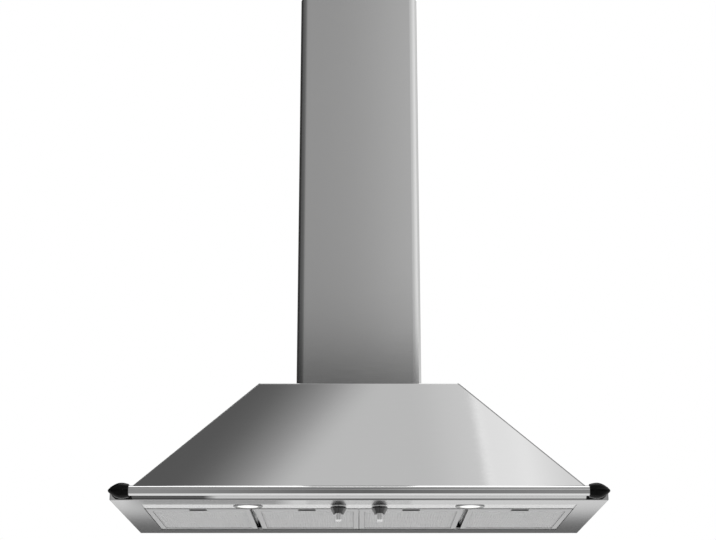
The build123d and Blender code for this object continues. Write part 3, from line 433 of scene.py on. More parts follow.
for name, slot in slot_of.items():
    cad_mesh = nodes[name].data
    cad_mesh.materials.clear()
    cad_mesh.materials.append(finishes[special_finish.get(name, slot)])


# ------------------------------------------------------------------ making pieces
SHARP_ANGLE = 32
WELD_DISTANCE = 1e-4


def span(name):
    """A node's lowest and highest corner in millimetres."""
    low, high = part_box(name)
    return Vector(low) / METRE, Vector(high) / METRE


def finish_piece(shape, name, node, *more, angle=SHARP_ANGLE):
    """Turns a bmesh in millimetres into a piece that stands for node and rides on its body."""
    bmesh.ops.remove_doubles(shape, verts=shape.verts, dist=WELD_DISTANCE)
    bmesh.ops.recalc_face_normals(shape, faces=shape.faces)
    bmesh.ops.scale(shape, vec=(METRE, METRE, METRE), verts=shape.verts)
    return put_piece(shape, name, node, *more, angle=angle)


def put_piece(shape, name, node, *more, angle=SHARP_ANGLE):
    """Makes the object of a bmesh in metres; edges sharper than angle stay sharp."""
    limit = math.radians(angle)
    for edge in shape.edges:
        edge.smooth = edge.is_manifold and edge.calc_face_angle(0.0) < limit
    for face in shape.faces:
        face.smooth = True
    mesh = bpy.data.meshes.new(name)
    shape.to_mesh(mesh)
    shape.free()
    mesh.materials.append(nodes[node].data.materials[0])
    piece = bpy.data.objects.new(name, mesh)
    collection.objects.link(piece)
    flats = piece.modifiers.new("flat_faces", "WEIGHTED_NORMAL")
    flats.keep_sharp = True
    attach(piece, body_of[node])
    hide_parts(node, *more)
    return piece


def welded_copy(node):
    """The node's own solid as a bmesh in metres, its loose triangles joined."""
    shape = bmesh.new()
    shape.from_mesh(nodes[node].data)
    bmesh.ops.remove_doubles(shape, verts=shape.verts, dist=1e-6)
    return shape


def smooth_copy(node):
    """The node's own shape with its facets shaded as the curves that they stand for."""
    put_piece(welded_copy(node), f"{node}_smooth", node)


def add_mesh(shape, part):
    """Moves the faces of one bmesh into another."""
    mesh = bpy.data.meshes.new("part")
    part.to_mesh(mesh)
    part.free()
    shape.from_mesh(mesh)
    bpy.data.meshes.remove(mesh)


def across_box(low, high):
    """The middle of a box in x and y, and half its width."""
    return (low.x + high.x) / 2, (low.y + high.y) / 2, (high.x - low.x) / 2


def lathe(shape, points, centre=(0, 0, 0), axis="Z", steps=48, closed=False):
    """Turns a profile of (radius, along) points about an axis through centre."""
    verts = [shape.verts.new((radius, 0, along)) for radius, along in points]
    edges = [shape.edges.new(pair) for pair in zip(verts, verts[1:])]
    if closed:
        edges.append(shape.edges.new((verts[-1], verts[0])))
    bmesh.ops.spin(
        shape,
        geom=verts + edges,
        cent=(0, 0, 0),
        axis=(0, 0, 1),
        angle=FULL_TURN,
        steps=steps,
        use_merge=True,
    )
    made = {vert for face in joined_faces(verts) for vert in face.verts} | set(verts)
    turn = Matrix.Rotation({"Z": 0, "X": math.pi / 2, "-X": -math.pi / 2}[axis], 4, "Y")
    bmesh.ops.transform(shape, matrix=Matrix.Translation(centre) @ turn, verts=list(made))
    joined = [vert for vert in made if vert.is_valid]
    bmesh.ops.remove_doubles(shape, verts=joined, dist=WELD_DISTANCE)


def joined_faces(seeds):
    """Every face joined to the seed vertices."""
    waiting = list(seeds)
    known = set(seeds)
    faces = set()
    while waiting:
        vert = waiting.pop()
        for face in vert.link_faces:
            faces.add(face)
            for other in face.verts:
                if other not in known:
                    known.add(other)
                    waiting.append(other)
    return faces


def rod(shape, start, end, radius, steps):
    """A round bar from one point to another."""
    start, end = Vector(start), Vector(end)
    way = end - start
    turn = way.to_track_quat("Z", "Y").to_matrix().to_4x4()
    place = Matrix.Translation((start + end) / 2) @ turn
    size = {"segments": steps, "radius1": radius, "radius2": radius, "depth": way.length}
    bmesh.ops.create_cone(shape, cap_ends=True, **size, matrix=place)


def block(shape, low, high):
    """A box between two corners."""
    low, high = Vector(low), Vector(high)
    place = Matrix.Translation((low + high) / 2) @ Matrix.Diagonal((*(high - low), 1))
    bmesh.ops.create_cube(shape, size=1.0, matrix=place)


def soften(shape, edges, offset, segments):
    """Rounds edges."""
    bmesh.ops.bevel(
        shape,
        geom=edges,
        offset=offset,
        offset_type="OFFSET",
        segments=segments,
        profile=0.5,
        affect="EDGES",
        clamp_overlap=True,
        material=-1,
    )


def arc(centre, radius, start, end, steps):
    """Points on an arc in a profile's plane, angles in degrees."""
    turns = [math.radians(start + (end - start) * step / steps) for step in range(steps + 1)]
    x, y = centre
    return [(x + radius * math.cos(turn), y + radius * math.sin(turn)) for turn in turns]


# ------------------------------------------------------------------ canopy
CANOPY_SHEET = 1.0
RIDGE_RADIUS = 3.0
RIDGE_STEPS = 6
DUCT_Y = -135.0
COLLAR_HOLE = 75.0
CABLE_PLACE = (112.0, -32.0)
CABLE_HOLE = 8.0


def height_of(face):
    """How high the middle of a face lies."""
    return face.calc_center_median().z


def make_canopy():
    """One welded shell: a cut pyramid without bottom and back, its ridges dressed round."""
    low, high = span("canopy_shell")
    shape = bmesh.new()
    made = bmesh.ops.create_cube(shape, size=2.0)["verts"]
    for vert in made:
        upper = vert.co.z > 0
        half = CANOPY_TOP_HALF if upper else high.x
        front = CANOPY_TOP_FRONT if upper else low.y
        vert.co = (half * vert.co.x, front if vert.co.y < 0 else 0.0, high.z if upper else low.z)
    back = [face for face in shape.faces if face.normal.y > 0.9]
    floor = [face for face in shape.faces if height_of(face) < low.z + 1]
    bmesh.ops.delete(shape, geom=back + floor, context="FACES")
    ridges = [edge for edge in shape.edges if len(edge.link_faces) == 2]
    soften(shape, ridges, RIDGE_RADIUS, RIDGE_STEPS)
    roof = max(shape.faces, key=height_of)
    rim = list(roof.edges)
    bmesh.ops.delete(shape, geom=[roof], context="FACES_ONLY")
    for place, radius in (((0, DUCT_Y), COLLAR_HOLE), (CABLE_PLACE, CABLE_HOLE)):
        hole = {"segments": 72, "radius": radius, "matrix": Matrix.Translation((*place, high.z))}
        circle = bmesh.ops.create_circle(shape, cap_ends=False, **hole)["verts"]
        rim += list({edge for vert in circle for edge in vert.link_edges})
    bmesh.ops.triangle_fill(shape, use_beauty=True, use_dissolve=False, edges=rim)
    bmesh.ops.recalc_face_normals(shape, faces=shape.faces)
    if max(shape.faces, key=height_of).normal.z < 0:
        bmesh.ops.reverse_faces(shape, faces=shape.faces)
    bmesh.ops.solidify(shape, geom=list(shape.faces), thickness=CANOPY_SHEET)
    finish_piece(shape, "canopy_welded", "canopy_shell", angle=25)


make_canopy()


# ------------------------------------------------------------------ flue covers
FLUE_SHEET = 1.0
FLUE_CORNER = 20.0
FLUE_RETURN = 20.0
FLUE_FOOT = 15.0
VENT_SLOT = Vector((5.0, 60.0))
VENT_PITCH = 18.0
VENT_COUNT = 5
VENT_DROP = 60.0


def make_flue_cover(node, vented):
    """A cover folded from one sheet, rounded in front, with vent slots above or a foot below."""
    low, high = span(node)
    rear = high.y
    slots = []
    levels = [low.z, high.z]
    if vented:
        first = DUCT_Y + VENT_PITCH * (VENT_COUNT - 1) / 2
        slots = [first - VENT_PITCH * index for index in range(VENT_COUNT)]
        levels[1:1] = [high.z - VENT_DROP - VENT_SLOT.y, high.z - VENT_DROP]
    side = [(high.x - FLUE_RETURN, rear), (high.x, rear)]
    side += [(high.x, y + turn * VENT_SLOT.x / 2) for y in slots for turn in (1, -1)]
    side += arc((high.x - FLUE_CORNER, low.y + FLUE_CORNER), FLUE_CORNER, 0, -90, 14)
    plan = side + [(-x, y) for x, y in reversed(side)]
    shape = bmesh.new()
    verts = [shape.verts.new((x, y, low.z)) for x, y in plan]
    edges = [shape.edges.new(pair) for pair in zip(verts, verts[1:])]
    for start, end in zip(levels, levels[1:]):
        drawn = bmesh.ops.extrude_edge_only(shape, edges=edges)["geom"]
        upper = {item for item in drawn if isinstance(item, bmesh.types.BMVert)}
        edges = [item for item in drawn if isinstance(item, bmesh.types.BMEdge)]
        edges = [edge for edge in edges if edge.is_boundary and set(edge.verts) <= upper]
        bmesh.ops.translate(shape, vec=(0, 0, end - start), verts=list(upper))
    bmesh.ops.recalc_face_normals(shape, faces=shape.faces)
    front_face = min(shape.faces, key=lambda face: face.calc_center_median().y)
    if front_face.normal.y > 0:
        bmesh.ops.reverse_faces(shape, faces=shape.faces)
    opened = []
    for face in shape.faces:
        middle = face.calc_center_median()
        at_slot = any(abs(middle.y - y) < 1 for y in slots)
        if at_slot and abs(middle.z - high.z + VENT_DROP + VENT_SLOT.y / 2) < 1:
            opened.append(face)
    bmesh.ops.delete(shape, geom=opened, context="FACES")
    bmesh.ops.solidify(shape, geom=list(shape.faces), thickness=FLUE_SHEET)
    if not vented:
        outer_x = high.x - FLUE_SHEET / 2
        inner_x = high.x - FLUE_SHEET - FLUE_FOOT
        inner_y = low.y + FLUE_SHEET + FLUE_FOOT
        foot = low.z + FLUE_SHEET
        block(shape, (-inner_x, low.y + FLUE_SHEET / 2, low.z), (inner_x, inner_y, foot))
        for sign in (-1, 1):
            near, far = sorted((sign * inner_x, sign * outer_x))
            corner = (near, low.y + FLUE_CORNER / 2, low.z)
            block(shape, corner, (far, rear - FLUE_SHEET / 2, foot))
    finish_piece(shape, f"{node}_cover", node, angle=20)


make_flue_cover("lower_flue", False)
make_flue_cover("upper_flue", True)


# ------------------------------------------------------------------ rail and its ends
RAIL_WALL = 1.5
RAIL_CHAMFER = 0.3
CAP_FACE_RADIUS = 14.6
CAP_TIP_RADIUS = 2.0
CAP_SOCKET = 15.0
CAP_SOCKET_PLAY = 0.05
CAP_LIP = 0.8
CAP_WIDEST = 16.0
CAP_NECK_RADIUS = 9.0


def make_rail():
    """Polished tube, its ends turned square with a small chamfer."""
    low, high = span("hand_rail")
    radius = (high.z - low.z) / 2
    inner = radius - RAIL_WALL
    shape = bmesh.new()
    turned = radius - RAIL_CHAMFER
    profile = [(inner, low.x), (turned, low.x), (radius, low.x + RAIL_CHAMFER)]
    profile += [(radius, high.x - RAIL_CHAMFER), (turned, high.x), (inner, high.x)]
    centre = (0, (low.y + high.y) / 2, (low.z + high.z) / 2)
    lathe(shape, profile, centre, "X", 96, closed=True)
    finish_piece(shape, "hand_rail_tube", "hand_rail")
    return centre, radius


rail_centre, rail_radius = make_rail()


def make_rail_end(node, sign):
    """Bullet-shaped black end with a socket for the tube and a round neck back to the rim."""
    low, high = span(node)
    length = high.x - low.x
    radius = (high.z - low.z) / 2
    face_x = high.x if sign < 0 else low.x
    shape = bmesh.new()
    socket = rail_radius + CAP_SOCKET_PLAY
    profile = [(0.0, CAP_SOCKET), (socket, CAP_SOCKET), (socket, 0.6), (rail_radius + 0.6, 0.0)]
    profile += [(CAP_FACE_RADIUS - CAP_LIP, 0.0), (CAP_FACE_RADIUS - 0.2, 0.25)]
    profile += [(CAP_FACE_RADIUS, CAP_LIP)]
    for share in [step / 6 for step in range(1, 6)]:
        swell = (radius - CAP_FACE_RADIUS) * math.sin(share * math.pi / 2)
        profile.append((CAP_FACE_RADIUS + swell, CAP_LIP + (CAP_WIDEST - CAP_LIP) * share))
    for share in [step / 18 for step in range(18)]:
        taper = (radius - CAP_TIP_RADIUS) * (1 - share**2)
        profile.append((CAP_TIP_RADIUS + taper, CAP_WIDEST + (length - CAP_WIDEST) * share))
    profile += [(CAP_TIP_RADIUS * 0.9, length - 0.15), (0.0, length)]
    _, rail_y, rail_z = rail_centre
    lathe(shape, profile, (face_x, rail_y, rail_z), "X" if sign > 0 else "-X", 64)
    neck_x = face_x + sign * CAP_WIDEST
    start = (neck_x, rail_y + CAP_NECK_RADIUS, rail_z)
    rod(shape, start, (neck_x, high.y, rail_z), CAP_NECK_RADIUS, 40)
    finish_piece(shape, f"{node}_cap", node)


make_rail_end("rail_end_left", -1)
make_rail_end("rail_end_right", 1)


# ------------------------------------------------------------------ knobs, bezels, lamps
KNOB_SKIRT = 16.0
KNOB_BORE = 3.1
KNOB_BORE_DEPTH = 12.0
KNOB_GRIP_WIDTH = 13.0
KNOB_GRIP_LENGTH = 31.0
BEZEL_BORE = 9.0
BEZEL_ROLL = 1.6
LAMP_ROLL = 2.4
LAMP_HOLE = 29.6
LENS_BULGE = 0.7
BULB_BASE = 9.0
BULB_BASE_HEIGHT = 12.0
BULB_TIP = 5.0


def make_knob(node):
    """Chrome knob: a turned skirt with a hollowed shoulder, and a bar grip with soft edges."""
    low, high = span(node)
    x, y, radius = across_box(low, high)
    top, bottom = high.z, low.z
    skirt = top - KNOB_SKIRT
    shape = bmesh.new()
    profile = [(0.0, top - KNOB_BORE_DEPTH), (KNOB_BORE, top - KNOB_BORE_DEPTH), (KNOB_BORE, top)]
    profile += [(radius - 0.5, top), (radius, top - 0.5)]
    profile += [(radius, top - 3.6), (radius - 0.5, top - 4.2)]
    for share in (0.2, 0.4, 0.6, 0.8):
        hollow = 4.9 * math.sin(share * math.pi / 2) ** 2
        profile.append((radius - 1.0 - hollow, top - 4.4 - 11.0 * share))
    profile += [(12.5, skirt + 0.4), (12.1, skirt), (0.0, skirt)]
    lathe(shape, profile, (x, y, 0), "Z", 64, closed=True)
    skirt_piece = finish_piece(shape, f"{node}_skirt", node)
    # The skirt's dark chrome colour is a painted reflection.
    skirt_piece.data.materials[0] = finishes["chrome_painted_dark_reflection"]
    grip = bmesh.new()
    half_width, half_length = KNOB_GRIP_WIDTH / 2, KNOB_GRIP_LENGTH / 2
    corner = (x - half_width, y - half_length, bottom)
    block(grip, corner, (x + half_width, y + half_length, skirt + 1.0))
    upright = [edge for edge in grip.edges if abs((edge.verts[0].co - edge.verts[1].co).z) > 1]
    soften(grip, upright, half_width - 0.2, 10)
    under = [edge for edge in grip.edges if max(vert.co.z for vert in edge.verts) < bottom + 0.1]
    soften(grip, under, 1.6, 4)
    finish_piece(grip, f"{node}_grip", node)


def make_bezel(node):
    """Shallow ring with a rolled outer edge."""
    low, high = span(node)
    x, y, radius = across_box(low, high)
    shape = bmesh.new()
    profile = [(BEZEL_BORE, high.z), (BEZEL_BORE, low.z), (radius - 2.0, low.z)]
    profile += arc((radius - BEZEL_ROLL, low.z + BEZEL_ROLL), BEZEL_ROLL, -90, 0, 6)
    profile.append((radius, high.z))
    lathe(shape, profile, (x, y, 0), "Z", 64, closed=True)
    finish_piece(shape, f"{node}_ring", node)


def make_lamp(side):
    """Trim ring with a rolled lip, the pressed lens that sits in it and the bulb behind it."""
    low, high = span(f"lamp_ring_{side}")
    x, y, radius = across_box(low, high)
    glass_low, glass_high = span(f"lamp_glass_{side}")
    glass = (glass_high.x - glass_low.x) / 2
    ring = bmesh.new()
    profile = [(glass - 1.5, glass_low.z), (glass - 1.5, low.z + 0.3), (glass - 1.2, low.z)]
    profile.append((radius - 3.2, low.z))
    profile += arc((radius - LAMP_ROLL, low.z + LAMP_ROLL), LAMP_ROLL, -90, 0, 6)[1:]
    profile += [(radius, low.z + 2.5), (LAMP_HOLE, low.z + 2.5), (LAMP_HOLE, high.z)]
    profile += [(glass + 0.1, high.z), (glass + 0.1, glass_low.z)]
    lathe(ring, profile, (x, y, 0), "Z", 72, closed=True)
    finish_piece(ring, f"lamp_ring_{side}_chrome", f"lamp_ring_{side}")
    lens = bmesh.new()
    dome = [(glass * share, glass_low.z + LENS_BULGE * share**2) for share in (0, 0.3, 0.6, 0.85)]
    dome += [(glass - 0.5, glass_low.z + LENS_BULGE), (glass, glass_low.z + LENS_BULGE + 0.5)]
    dome += [(glass, glass_high.z), (0.0, glass_high.z)]
    lathe(lens, dome, (x, y, 0), "Z", 72)
    finish_piece(lens, f"lamp_lens_{side}", f"lamp_glass_{side}")
    bulb_low, bulb_high = span(f"lamp_bulb_{side}")
    bulb = bmesh.new()
    top, neck = bulb_high.z, bulb_high.z - BULB_BASE_HEIGHT
    profile = [(0.0, top), (BULB_BASE - 0.4, top), (BULB_BASE, top - 0.4), (BULB_BASE, neck + 0.4)]
    profile += [(BULB_BASE - 0.4, neck), (BULB_TIP, neck)]
    profile += arc((0.0, bulb_low.z + BULB_TIP), BULB_TIP, 0, -90, 8)
    lathe(bulb, profile, (x, y, 0), "Z", 40)
    finish_piece(bulb, f"lamp_bulb_{side}_capsule", f"lamp_bulb_{side}")


for control in ("light", "fan"):
    make_knob(f"{control}_knob")
    make_bezel(f"{control}_bezel")
for lamp_side in ("left", "right"):
    make_lamp(lamp_side)


# ------------------------------------------------------------------ filters
MESH_LONG_WAY = 12.0
MESH_SHORT_WAY = 6.0
MESH_STRAND = 1.3
MESH_PLEAT = 13.0
PLEAT_SHEET = 0.3
SPRING_SHEET = 0.5


def expanded_layer(shape, low, high, z):
    """A layer of expanded metal between two corners: a slit grid drawn out to diamonds."""
    x, y, half_width = across_box(low, high)
    across = max(half_width * 2 / MESH_LONG_WAY, (high.y - low.y) / MESH_SHORT_WAY)
    cells = math.ceil(across) * 2
    size = cells / 2 / math.sqrt(2)
    stretch = Matrix.Diagonal((MESH_LONG_WAY, MESH_SHORT_WAY, 1, 1))
    place = Matrix.Translation((x, y, z)) @ stretch @ Matrix.Rotation(math.pi / 4, 4, "Z")
    layer = bmesh.new()
    bmesh.ops.create_grid(layer, x_segments=cells, y_segments=cells, size=size, matrix=place)
    for corner, way in ((low, (-1, 0, 0)), (low, (0, -1, 0)), (high, (1, 0, 0)), (high, (0, 1, 0))):
        geom = list(layer.verts) + list(layer.edges) + list(layer.faces)
        plane = {"plane_co": (corner.x, corner.y, z), "plane_no": way, "clear_outer": True}
        bmesh.ops.bisect_plane(layer, geom=geom, dist=WELD_DISTANCE, **plane)
    strands = {"thickness": MESH_STRAND, "use_replace": True, "use_boundary": True}
    bmesh.ops.wireframe(layer, faces=list(layer.faces), **strands)
    add_mesh(shape, layer)


def make_filter_mesh(number):
    """Two layers of expanded metal with a pleated layer between them."""
    node = f"filter_mesh_{number}"
    low, high = span(node)
    shape = bmesh.new()
    half_strand = MESH_STRAND / 2
    expanded_layer(shape, low, high, low.z + half_strand)
    expanded_layer(shape, low, high, high.z - half_strand)
    half = (high - low) / 2
    folds = 2 * round(half.x / MESH_PLEAT)
    place = Matrix.Translation((low + high) / 2) @ Matrix.Diagonal((half.x, half.y, 1, 1))
    grid = {"x_segments": folds, "y_segments": 1, "size": 1.0, "matrix": place}
    pleats = bmesh.ops.create_grid(shape, **grid)["verts"]
    step = (high.x - low.x) / folds
    inner = (low.z + 2 * MESH_STRAND, high.z - 2 * MESH_STRAND)
    for vert in pleats:
        vert.co.z = inner[round((vert.co.x - low.x) / step) % 2]
    sheet = list({face for vert in pleats for face in vert.link_faces})
    bmesh.ops.solidify(shape, geom=sheet, thickness=PLEAT_SHEET)
    bmesh.ops.scale(shape, vec=(METRE, METRE, METRE), verts=shape.verts)
    put_piece(shape, f"{node}_layers", node, angle=40)


def make_catch_spring(number):
    """Bowed leaf behind a catch, built in its bowed shape only; the real leaf flattens when the
    catch is drawn back.
    """
    node = f"catch_spring_{number}"
    low, high = span(node)
    half = (high.x - low.x) / 2
    middle = (low.x + high.x) / 2
    bow = high.y - low.y - SPRING_SHEET
    shape = bmesh.new()
    shares = [step / 16 - 1 for step in range(33)]
    points = [(middle + half * share, low.y + bow * (1 - share * share), low.z) for share in shares]
    verts = [shape.verts.new(point) for point in points]
    edges = [shape.edges.new(pair) for pair in zip(verts, verts[1:])]
    drawn = bmesh.ops.extrude_edge_only(shape, edges=edges)["geom"]
    upper = [item for item in drawn if isinstance(item, bmesh.types.BMVert)]
    bmesh.ops.translate(shape, vec=(0, 0, high.z - low.z), verts=upper)
    bmesh.ops.recalc_face_normals(shape, faces=shape.faces)
    side = SPRING_SHEET if shape.faces[:][0].normal.y < 0 else -SPRING_SHEET
    bmesh.ops.solidify(shape, geom=list(shape.faces), thickness=side)
    spring = finish_piece(shape, f"{node}_leaf", node, angle=50)
    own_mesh(spring)


for filter_number in (1, 2, 3, 4):
    make_filter_mesh(filter_number)
    make_catch_spring(filter_number)


# ------------------------------------------------------------------ screws
SCREW_HEAD_RADIUS = 4.5
SCREW_HEAD_HEIGHT = 2.6
SCREW_HEAD_ROLL = 1.6
SCREW_CHAMFER = 0.8
SCREW_RADIUS = 2.5
THREAD_PITCH = 0.8
THREAD_DEPTH = 0.35
HEAD_TEST = 12.0  # squared distance from the axis that only a screw's head reaches


def screw_places(node):
    """Where each screw of a node sits, and which way it points, from its own solid's shape."""
    solid = welded_copy(node)
    left = set(solid.verts)
    found = []
    while left:
        group = {vert for face in joined_faces([left.pop()]) for vert in face.verts}
        left -= group
        points = [vert.co / METRE for vert in group]
        low = Vector([min(point[axis] for point in points) for axis in range(3)])
        high = Vector([max(point[axis] for point in points) for axis in range(3)])
        axis = max(range(3), key=lambda each: (high - low)[each])
        middle = (low + high) / 2
        across = ((axis + 1) % 3, (axis + 2) % 3)
        spread = [sum((point - middle)[each] ** 2 for each in across) for point in points]
        wide = [point[axis] for point, far in zip(points, spread) if far > HEAD_TEST]
        head_side = sum(wide) / len(wide) > middle[axis]
        way = Vector((0, 0, 0))
        way[axis] = -1 if head_side else 1
        head = middle.copy()
        head[axis] = high[axis] if head_side else low[axis]
        found.append((head, way, (high - low)[axis]))
    solid.free()
    return found


def make_screws(node):
    """Pan-head screws with a dimple in the head and a ridged shank."""
    shape = bmesh.new()
    for head, way, length in screw_places(node):
        single = bmesh.new()
        seat = SCREW_HEAD_HEIGHT
        profile = [(0.0, 1.6), (1.4, 1.4), (1.5, 0.25), (1.7, 0.0)]
        roll = (SCREW_HEAD_RADIUS - SCREW_HEAD_ROLL, SCREW_HEAD_ROLL)
        profile += arc(roll, SCREW_HEAD_ROLL, -90, 0, 5)
        profile += [(SCREW_HEAD_RADIUS, seat), (SCREW_RADIUS, seat)]
        turns = int((length - seat - 1.2) / THREAD_PITCH)
        for turn in range(turns):
            along = seat + 0.3 + turn * THREAD_PITCH
            profile.append((SCREW_RADIUS, along))
            profile.append((SCREW_RADIUS - THREAD_DEPTH, along + THREAD_PITCH / 2))
        profile += [(SCREW_RADIUS, length - SCREW_CHAMFER), (SCREW_RADIUS - SCREW_CHAMFER, length)]
        profile.append((0.0, length))
        lathe(single, profile, steps=24)
        turn = way.to_track_quat("Z", "Y").to_matrix().to_4x4()
        bmesh.ops.transform(single, matrix=Matrix.Translation(head) @ turn, verts=single.verts)
        add_mesh(shape, single)
    finish_piece(shape, f"{node}_threaded", node)


make_screws("screws")
make_screws("bracket_screws")


# ------------------------------------------------------------------ motor
STACK_START = 12.0
STACK_PLATES = 14
REAR_SHIELD = 16.0
MOTOR_BORE = 4.05
MOTOR_BORE_DEPTH = 20.0


def make_motor():
    """Laminated stator between two domed end shields."""
    low, high = span("motor")
    radius = (high.z - low.z) / 2
    length = high.x - low.x
    centre = (low.x, (low.y + high.y) / 2, (low.z + high.z) / 2)
    shape = bmesh.new()
    step = radius * 0.92
    profile = [(0.0, 0.0), (26.4, 0.0), (step - 4, 8.0), (step, 11.5), (step, STACK_START)]
    plate = (length - STACK_START - REAR_SHIELD) / STACK_PLATES
    for number in range(STACK_PLATES):
        start = STACK_START + plate * number
        profile += [(radius - 0.5, start), (radius, start + 0.4), (radius, start + plate - 0.5)]
    stack_end = length - REAR_SHIELD
    profile += [(radius - 0.5, stack_end), (step, stack_end), (step - 3, length - 9.0)]
    profile += [(19.8, length - 0.6), (18.6, length), (MOTOR_BORE, length)]
    profile += [(MOTOR_BORE, length - MOTOR_BORE_DEPTH), (0.0, length - MOTOR_BORE_DEPTH)]
    lathe(shape, profile, centre, "X", 64)
    finish_piece(shape, "motor_laminated", "motor")


make_motor()

for node in (
    "base_frame",
    "lamp_can_left",
    "lamp_can_right",
    "blower_scroll",
    "inlet_plate",
    "impeller",
    "motor_shaft",
    "outlet_collar",
    "damper_pin",
    "damper_flap_front",
    "damper_flap_rear",
    "capacitor",
    "cable_gland",
    "light_spindle",
    "fan_spindle",
    *(f"filter_frame_{number}" for number in (1, 2, 3, 4)),
):
    smooth_copy(node)


# ------------------------------------------------------------------ light, floor and camera
FLOOR_HEIGHT = -0.75
FLOOR_HALF = 12.0
CAMERA_PLACE = (-0.0023, -3.8157, -0.549)
CAMERA_PITCH = math.radians(18.08)
CAMERA_LENS = 75.84


def low_light(f, x, z):
    """In front of the hood, near the horizon: a grey room that is dark to both sides."""
    tones = [(-1, 0.22), (-0.3, 0.32), (-0.14, 0.34), (0.0, 0.15), (0.12, 0.29), (0.4, 0.34)]
    tones += [(1, 0.5)]
    wings = f.curve(z, [(-0.35, 0.0), (-0.1, 1.0), (0.2, 1.0), (0.23, 0.0)])
    wings = wings * f.curve(x, [(-0.3, 1.0), (-0.16, 0.0), (0.16, 0.0), (0.3, 1.0)])
    return f.fade(wings, f.curve(x, tones), 0.03)


def high_light(f, x, z):
    """In front of the hood, higher up: a wall that grows bright to the right."""
    rows = [(0.2, 0.03), (0.238, 0.05), (0.252, 0.2), (0.267, 0.35), (0.28, 0.385), (0.6, 0.385)]
    columns = [(-1, 0.3), (-0.83, 0.34), (-0.56, 0.5), (-0.4, 0.75), (-0.23, 0.97), (-0.05, 1.0)]
    columns += [(0.003, 1.0), (0.025, 1.45), (0.1, 1.75), (0.41, 1.85), (0.85, 2.6), (1, 2.8)]
    return f.curve(z, rows) * f.curve(x, columns, 2.8)


def front_light(f, x, z):
    """The two parts of the room in front, one above the other."""
    raised = f.curve(z, [(0.195, 0.0), (0.235, 1.0), (0.5, 1.0), (0.62, 0.0)])
    return f.fade(raised, low_light(f, x, z), high_light(f, x, z))


def back_light(f, x, y, z):
    """Behind the hood: pale, with a dark band, a dark left side, a screen and a flag."""
    rows = [(-1, 0.9), (-0.2, 0.88), (-0.1, 0.88), (0.05, 0.8), (0.3, 0.6), (1, 0.9)]
    band = [(-0.165, 1.0), (-0.157, 1.0), (-0.1535, 0.72), (-0.15, 0.3)]
    band += [(-0.147, 0.14), (-0.132, 0.12), (-0.122, 1.0)]
    columns = [(-1, 0.06), (-0.64, 0.06), (-0.3, 0.09), (-0.08, 0.14), (0.05, 0.85), (0.1, 0.95)]
    columns += [(1, 1.3)]
    above = f.curve(z, [(-0.05, 0.0), (0.1, 1.0)])
    screen = f.curve(z, [(-0.1675, 0.0), (-0.166, 1.0), (-0.1604, 1.0), (-0.159, 0.0)])
    screen = screen * f.curve(x, [(-0.152, 0.0), (-0.138, 1.0), (-0.055, 1.0), (-0.042, 0.0)])
    light = f.curve(z, rows) * f.curve(z, band) * (1 - screen * 0.8)
    light = light * (f.curve(x, columns, 1.3) * above + (1 - above))
    flag = f.curve(x, [(0.12, 0.0), (0.15, 1.0), (0.36, 1.0), (0.4, 0.0)])
    flag = flag * f.curve(y, [(0.4, 0.0), (0.5, 1.0)])
    flag = flag * f.curve(z, [(0.35, 0.0), (0.42, 1.0), (0.8, 1.0), (0.85, 0.0)])
    return f.fade(flag, light, 0.04)


def ceiling_light(f, x, y):
    """Overhead: dark to the left, a lit field with a crisp edge, and a panel at the rear."""
    lean = x - (y + 0.213) * 0.889
    tones = [(-0.2, 0.105), (-0.075, 0.13), (-0.06, 0.16), (-0.048, 0.22), (-0.035, 0.31)]
    tones += [(-0.0225, 0.42), (-0.0105, 0.56), (0.002, 0.67), (0.010, 0.685), (0.2, 0.685)]
    edge = x + (y + 0.219) * 0.18
    field = [(0.0, 1.0), (0.035, 1.0), (0.045, 1.03), (0.057, 1.1), (0.077, 1.18), (0.094, 1.2)]
    field += [(0.105, 1.25), (0.118, 1.13), (0.13, 1.03), (0.3, 0.97)]
    step = f.curve(edge, [(0.0763, 0.0), (0.0773, 0.44), (0.0787, 0.44), (0.08, 0.27)])
    front = f.curve(lean, tones) * (f.curve(edge, field, 1.25) * (1 + step))
    rear = f.curve(y, [(-0.17, 0.0), (-0.13, 1.0)])
    panel = f.curve(y, [(0.08, 0.0), (0.14, 1.0)])
    return f.fade(rear, front, panel * 2.0 + 0.7)


def studio_world():
    """White to the eye; to metal, a studio with a dark side, a bright side and a lit ceiling."""
    f = Finish("studio", world=True)
    x, y, z = f.axes(f.node("ShaderNodeTexCoord", output="Generated"))
    behind = f.curve(y, [(-0.12, 0.0), (0.12, 1.0)])
    around = f.fade(behind, front_light(f, x, z), back_light(f, x, y, z))
    under = f.curve(z, [(-0.985, 1.0), (-0.955, 0.0)])
    around = f.fade(under, around, 0.95)
    overhead = f.curve(z, [(0.9, 0.0), (0.945, 1.0)])
    studio = f.fade(overhead, around, ceiling_light(f, x, y))
    tone = f.node("ShaderNodeCombineColor", {}, {0: studio, 1: studio, 2: studio})
    paths = f.node("ShaderNodeLightPath", output="Is Glossy Ray")
    soft = f.node("ShaderNodeBackground", {}, {"Color": tone, "Strength": 1.0})
    white = f.node("ShaderNodeBackground", {}, {"Color": grey(1.0), "Strength": 1.0})
    return f.end(f.node("ShaderNodeMixShader", {}, {0: paths, 1: white, 2: soft}))


scene.world = studio_world()


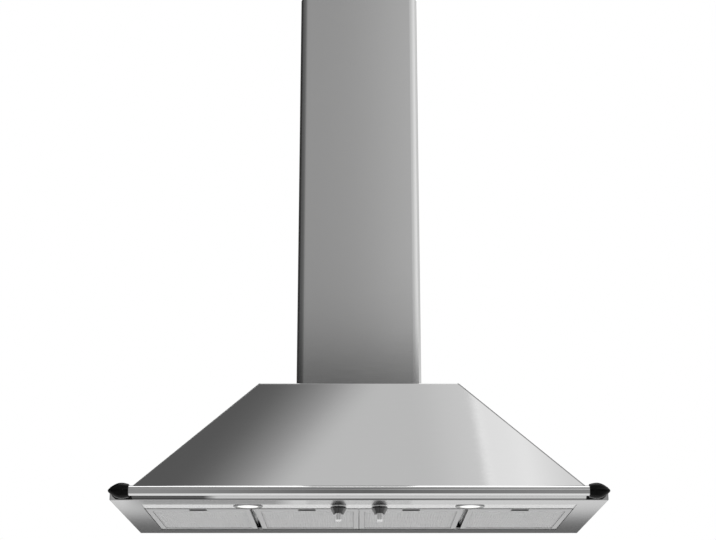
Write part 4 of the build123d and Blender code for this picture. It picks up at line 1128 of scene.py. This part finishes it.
def pale_floor():
    """Pale matt floor that keeps the object's shadow and melts into the white far off."""
    f = Finish("pale_floor")
    cloud = f.noise(3.0, 2.0)
    tint = f.blend(cloud, grey(0.80), grey(0.84))
    near = f.node("ShaderNodeBsdfPrincipled", {}, {"Base Color": tint, "Roughness": 0.7})
    white = f.node("ShaderNodeEmission", {}, {"Color": grey(1.0), "Strength": 1.0})
    point = f.node("ShaderNodeTexCoord", output="Object")
    distance = f.node("ShaderNodeVectorMath", {"operation": "LENGTH"}, {0: point}, output="Value")
    far = f.curve(distance, [(1.0, 0.0), (6.0, 1.0)])
    seen = f.node("ShaderNodeLightPath", output="Is Camera Ray")
    return f.end(f.node("ShaderNodeMixShader", {}, {0: far * seen, 1: near, 2: white}))


def make_floor():
    """Floor well below the hood, at the level of a cooker."""
    shape = bmesh.new()
    place = Matrix.Translation((0, 0, FLOOR_HEIGHT))
    bmesh.ops.create_grid(shape, x_segments=1, y_segments=1, size=FLOOR_HALF, matrix=place)
    mesh = bpy.data.meshes.new("floor")
    shape.to_mesh(mesh)
    shape.free()
    mesh.materials.append(pale_floor())
    floor = bpy.data.objects.new("floor", mesh)
    collection.objects.link(floor)
    floor.visible_glossy = False


make_floor()


def soft_lamp(name, place, aim, size, power):
    """A square softbox aimed at a point, not seen in reflections."""
    light = bpy.data.lights.new(name, "AREA")
    light.shape = "RECTANGLE"
    light.size, light.size_y = size
    light.energy = power
    lamp = bpy.data.objects.new(name, light)
    lamp.location = place
    lamp.rotation_euler = (Vector(aim) - Vector(place)).to_track_quat("-Z", "Y").to_euler()
    lamp.visible_glossy = False
    collection.objects.link(lamp)


soft_lamp("key_softbox", (1.9, -2.6, 2.6), (0, -0.2, 0.4), (1.6, 1.6), 25)
soft_lamp("fill_softbox", (-2.6, -2.4, 1.4), (0, -0.2, 0.4), (1.8, 1.8), 8)

camera_data = bpy.data.cameras.new("camera")
camera_data.lens = CAMERA_LENS
camera_data.sensor_width = 36.0
camera_data.clip_end = 60
camera = bpy.data.objects.new("camera", camera_data)
camera.location = CAMERA_PLACE
camera.rotation_euler = (math.radians(90) + CAMERA_PITCH, 0, 0)
collection.objects.link(camera)
scene.camera = camera
scene.view_settings.view_transform = "Standard"
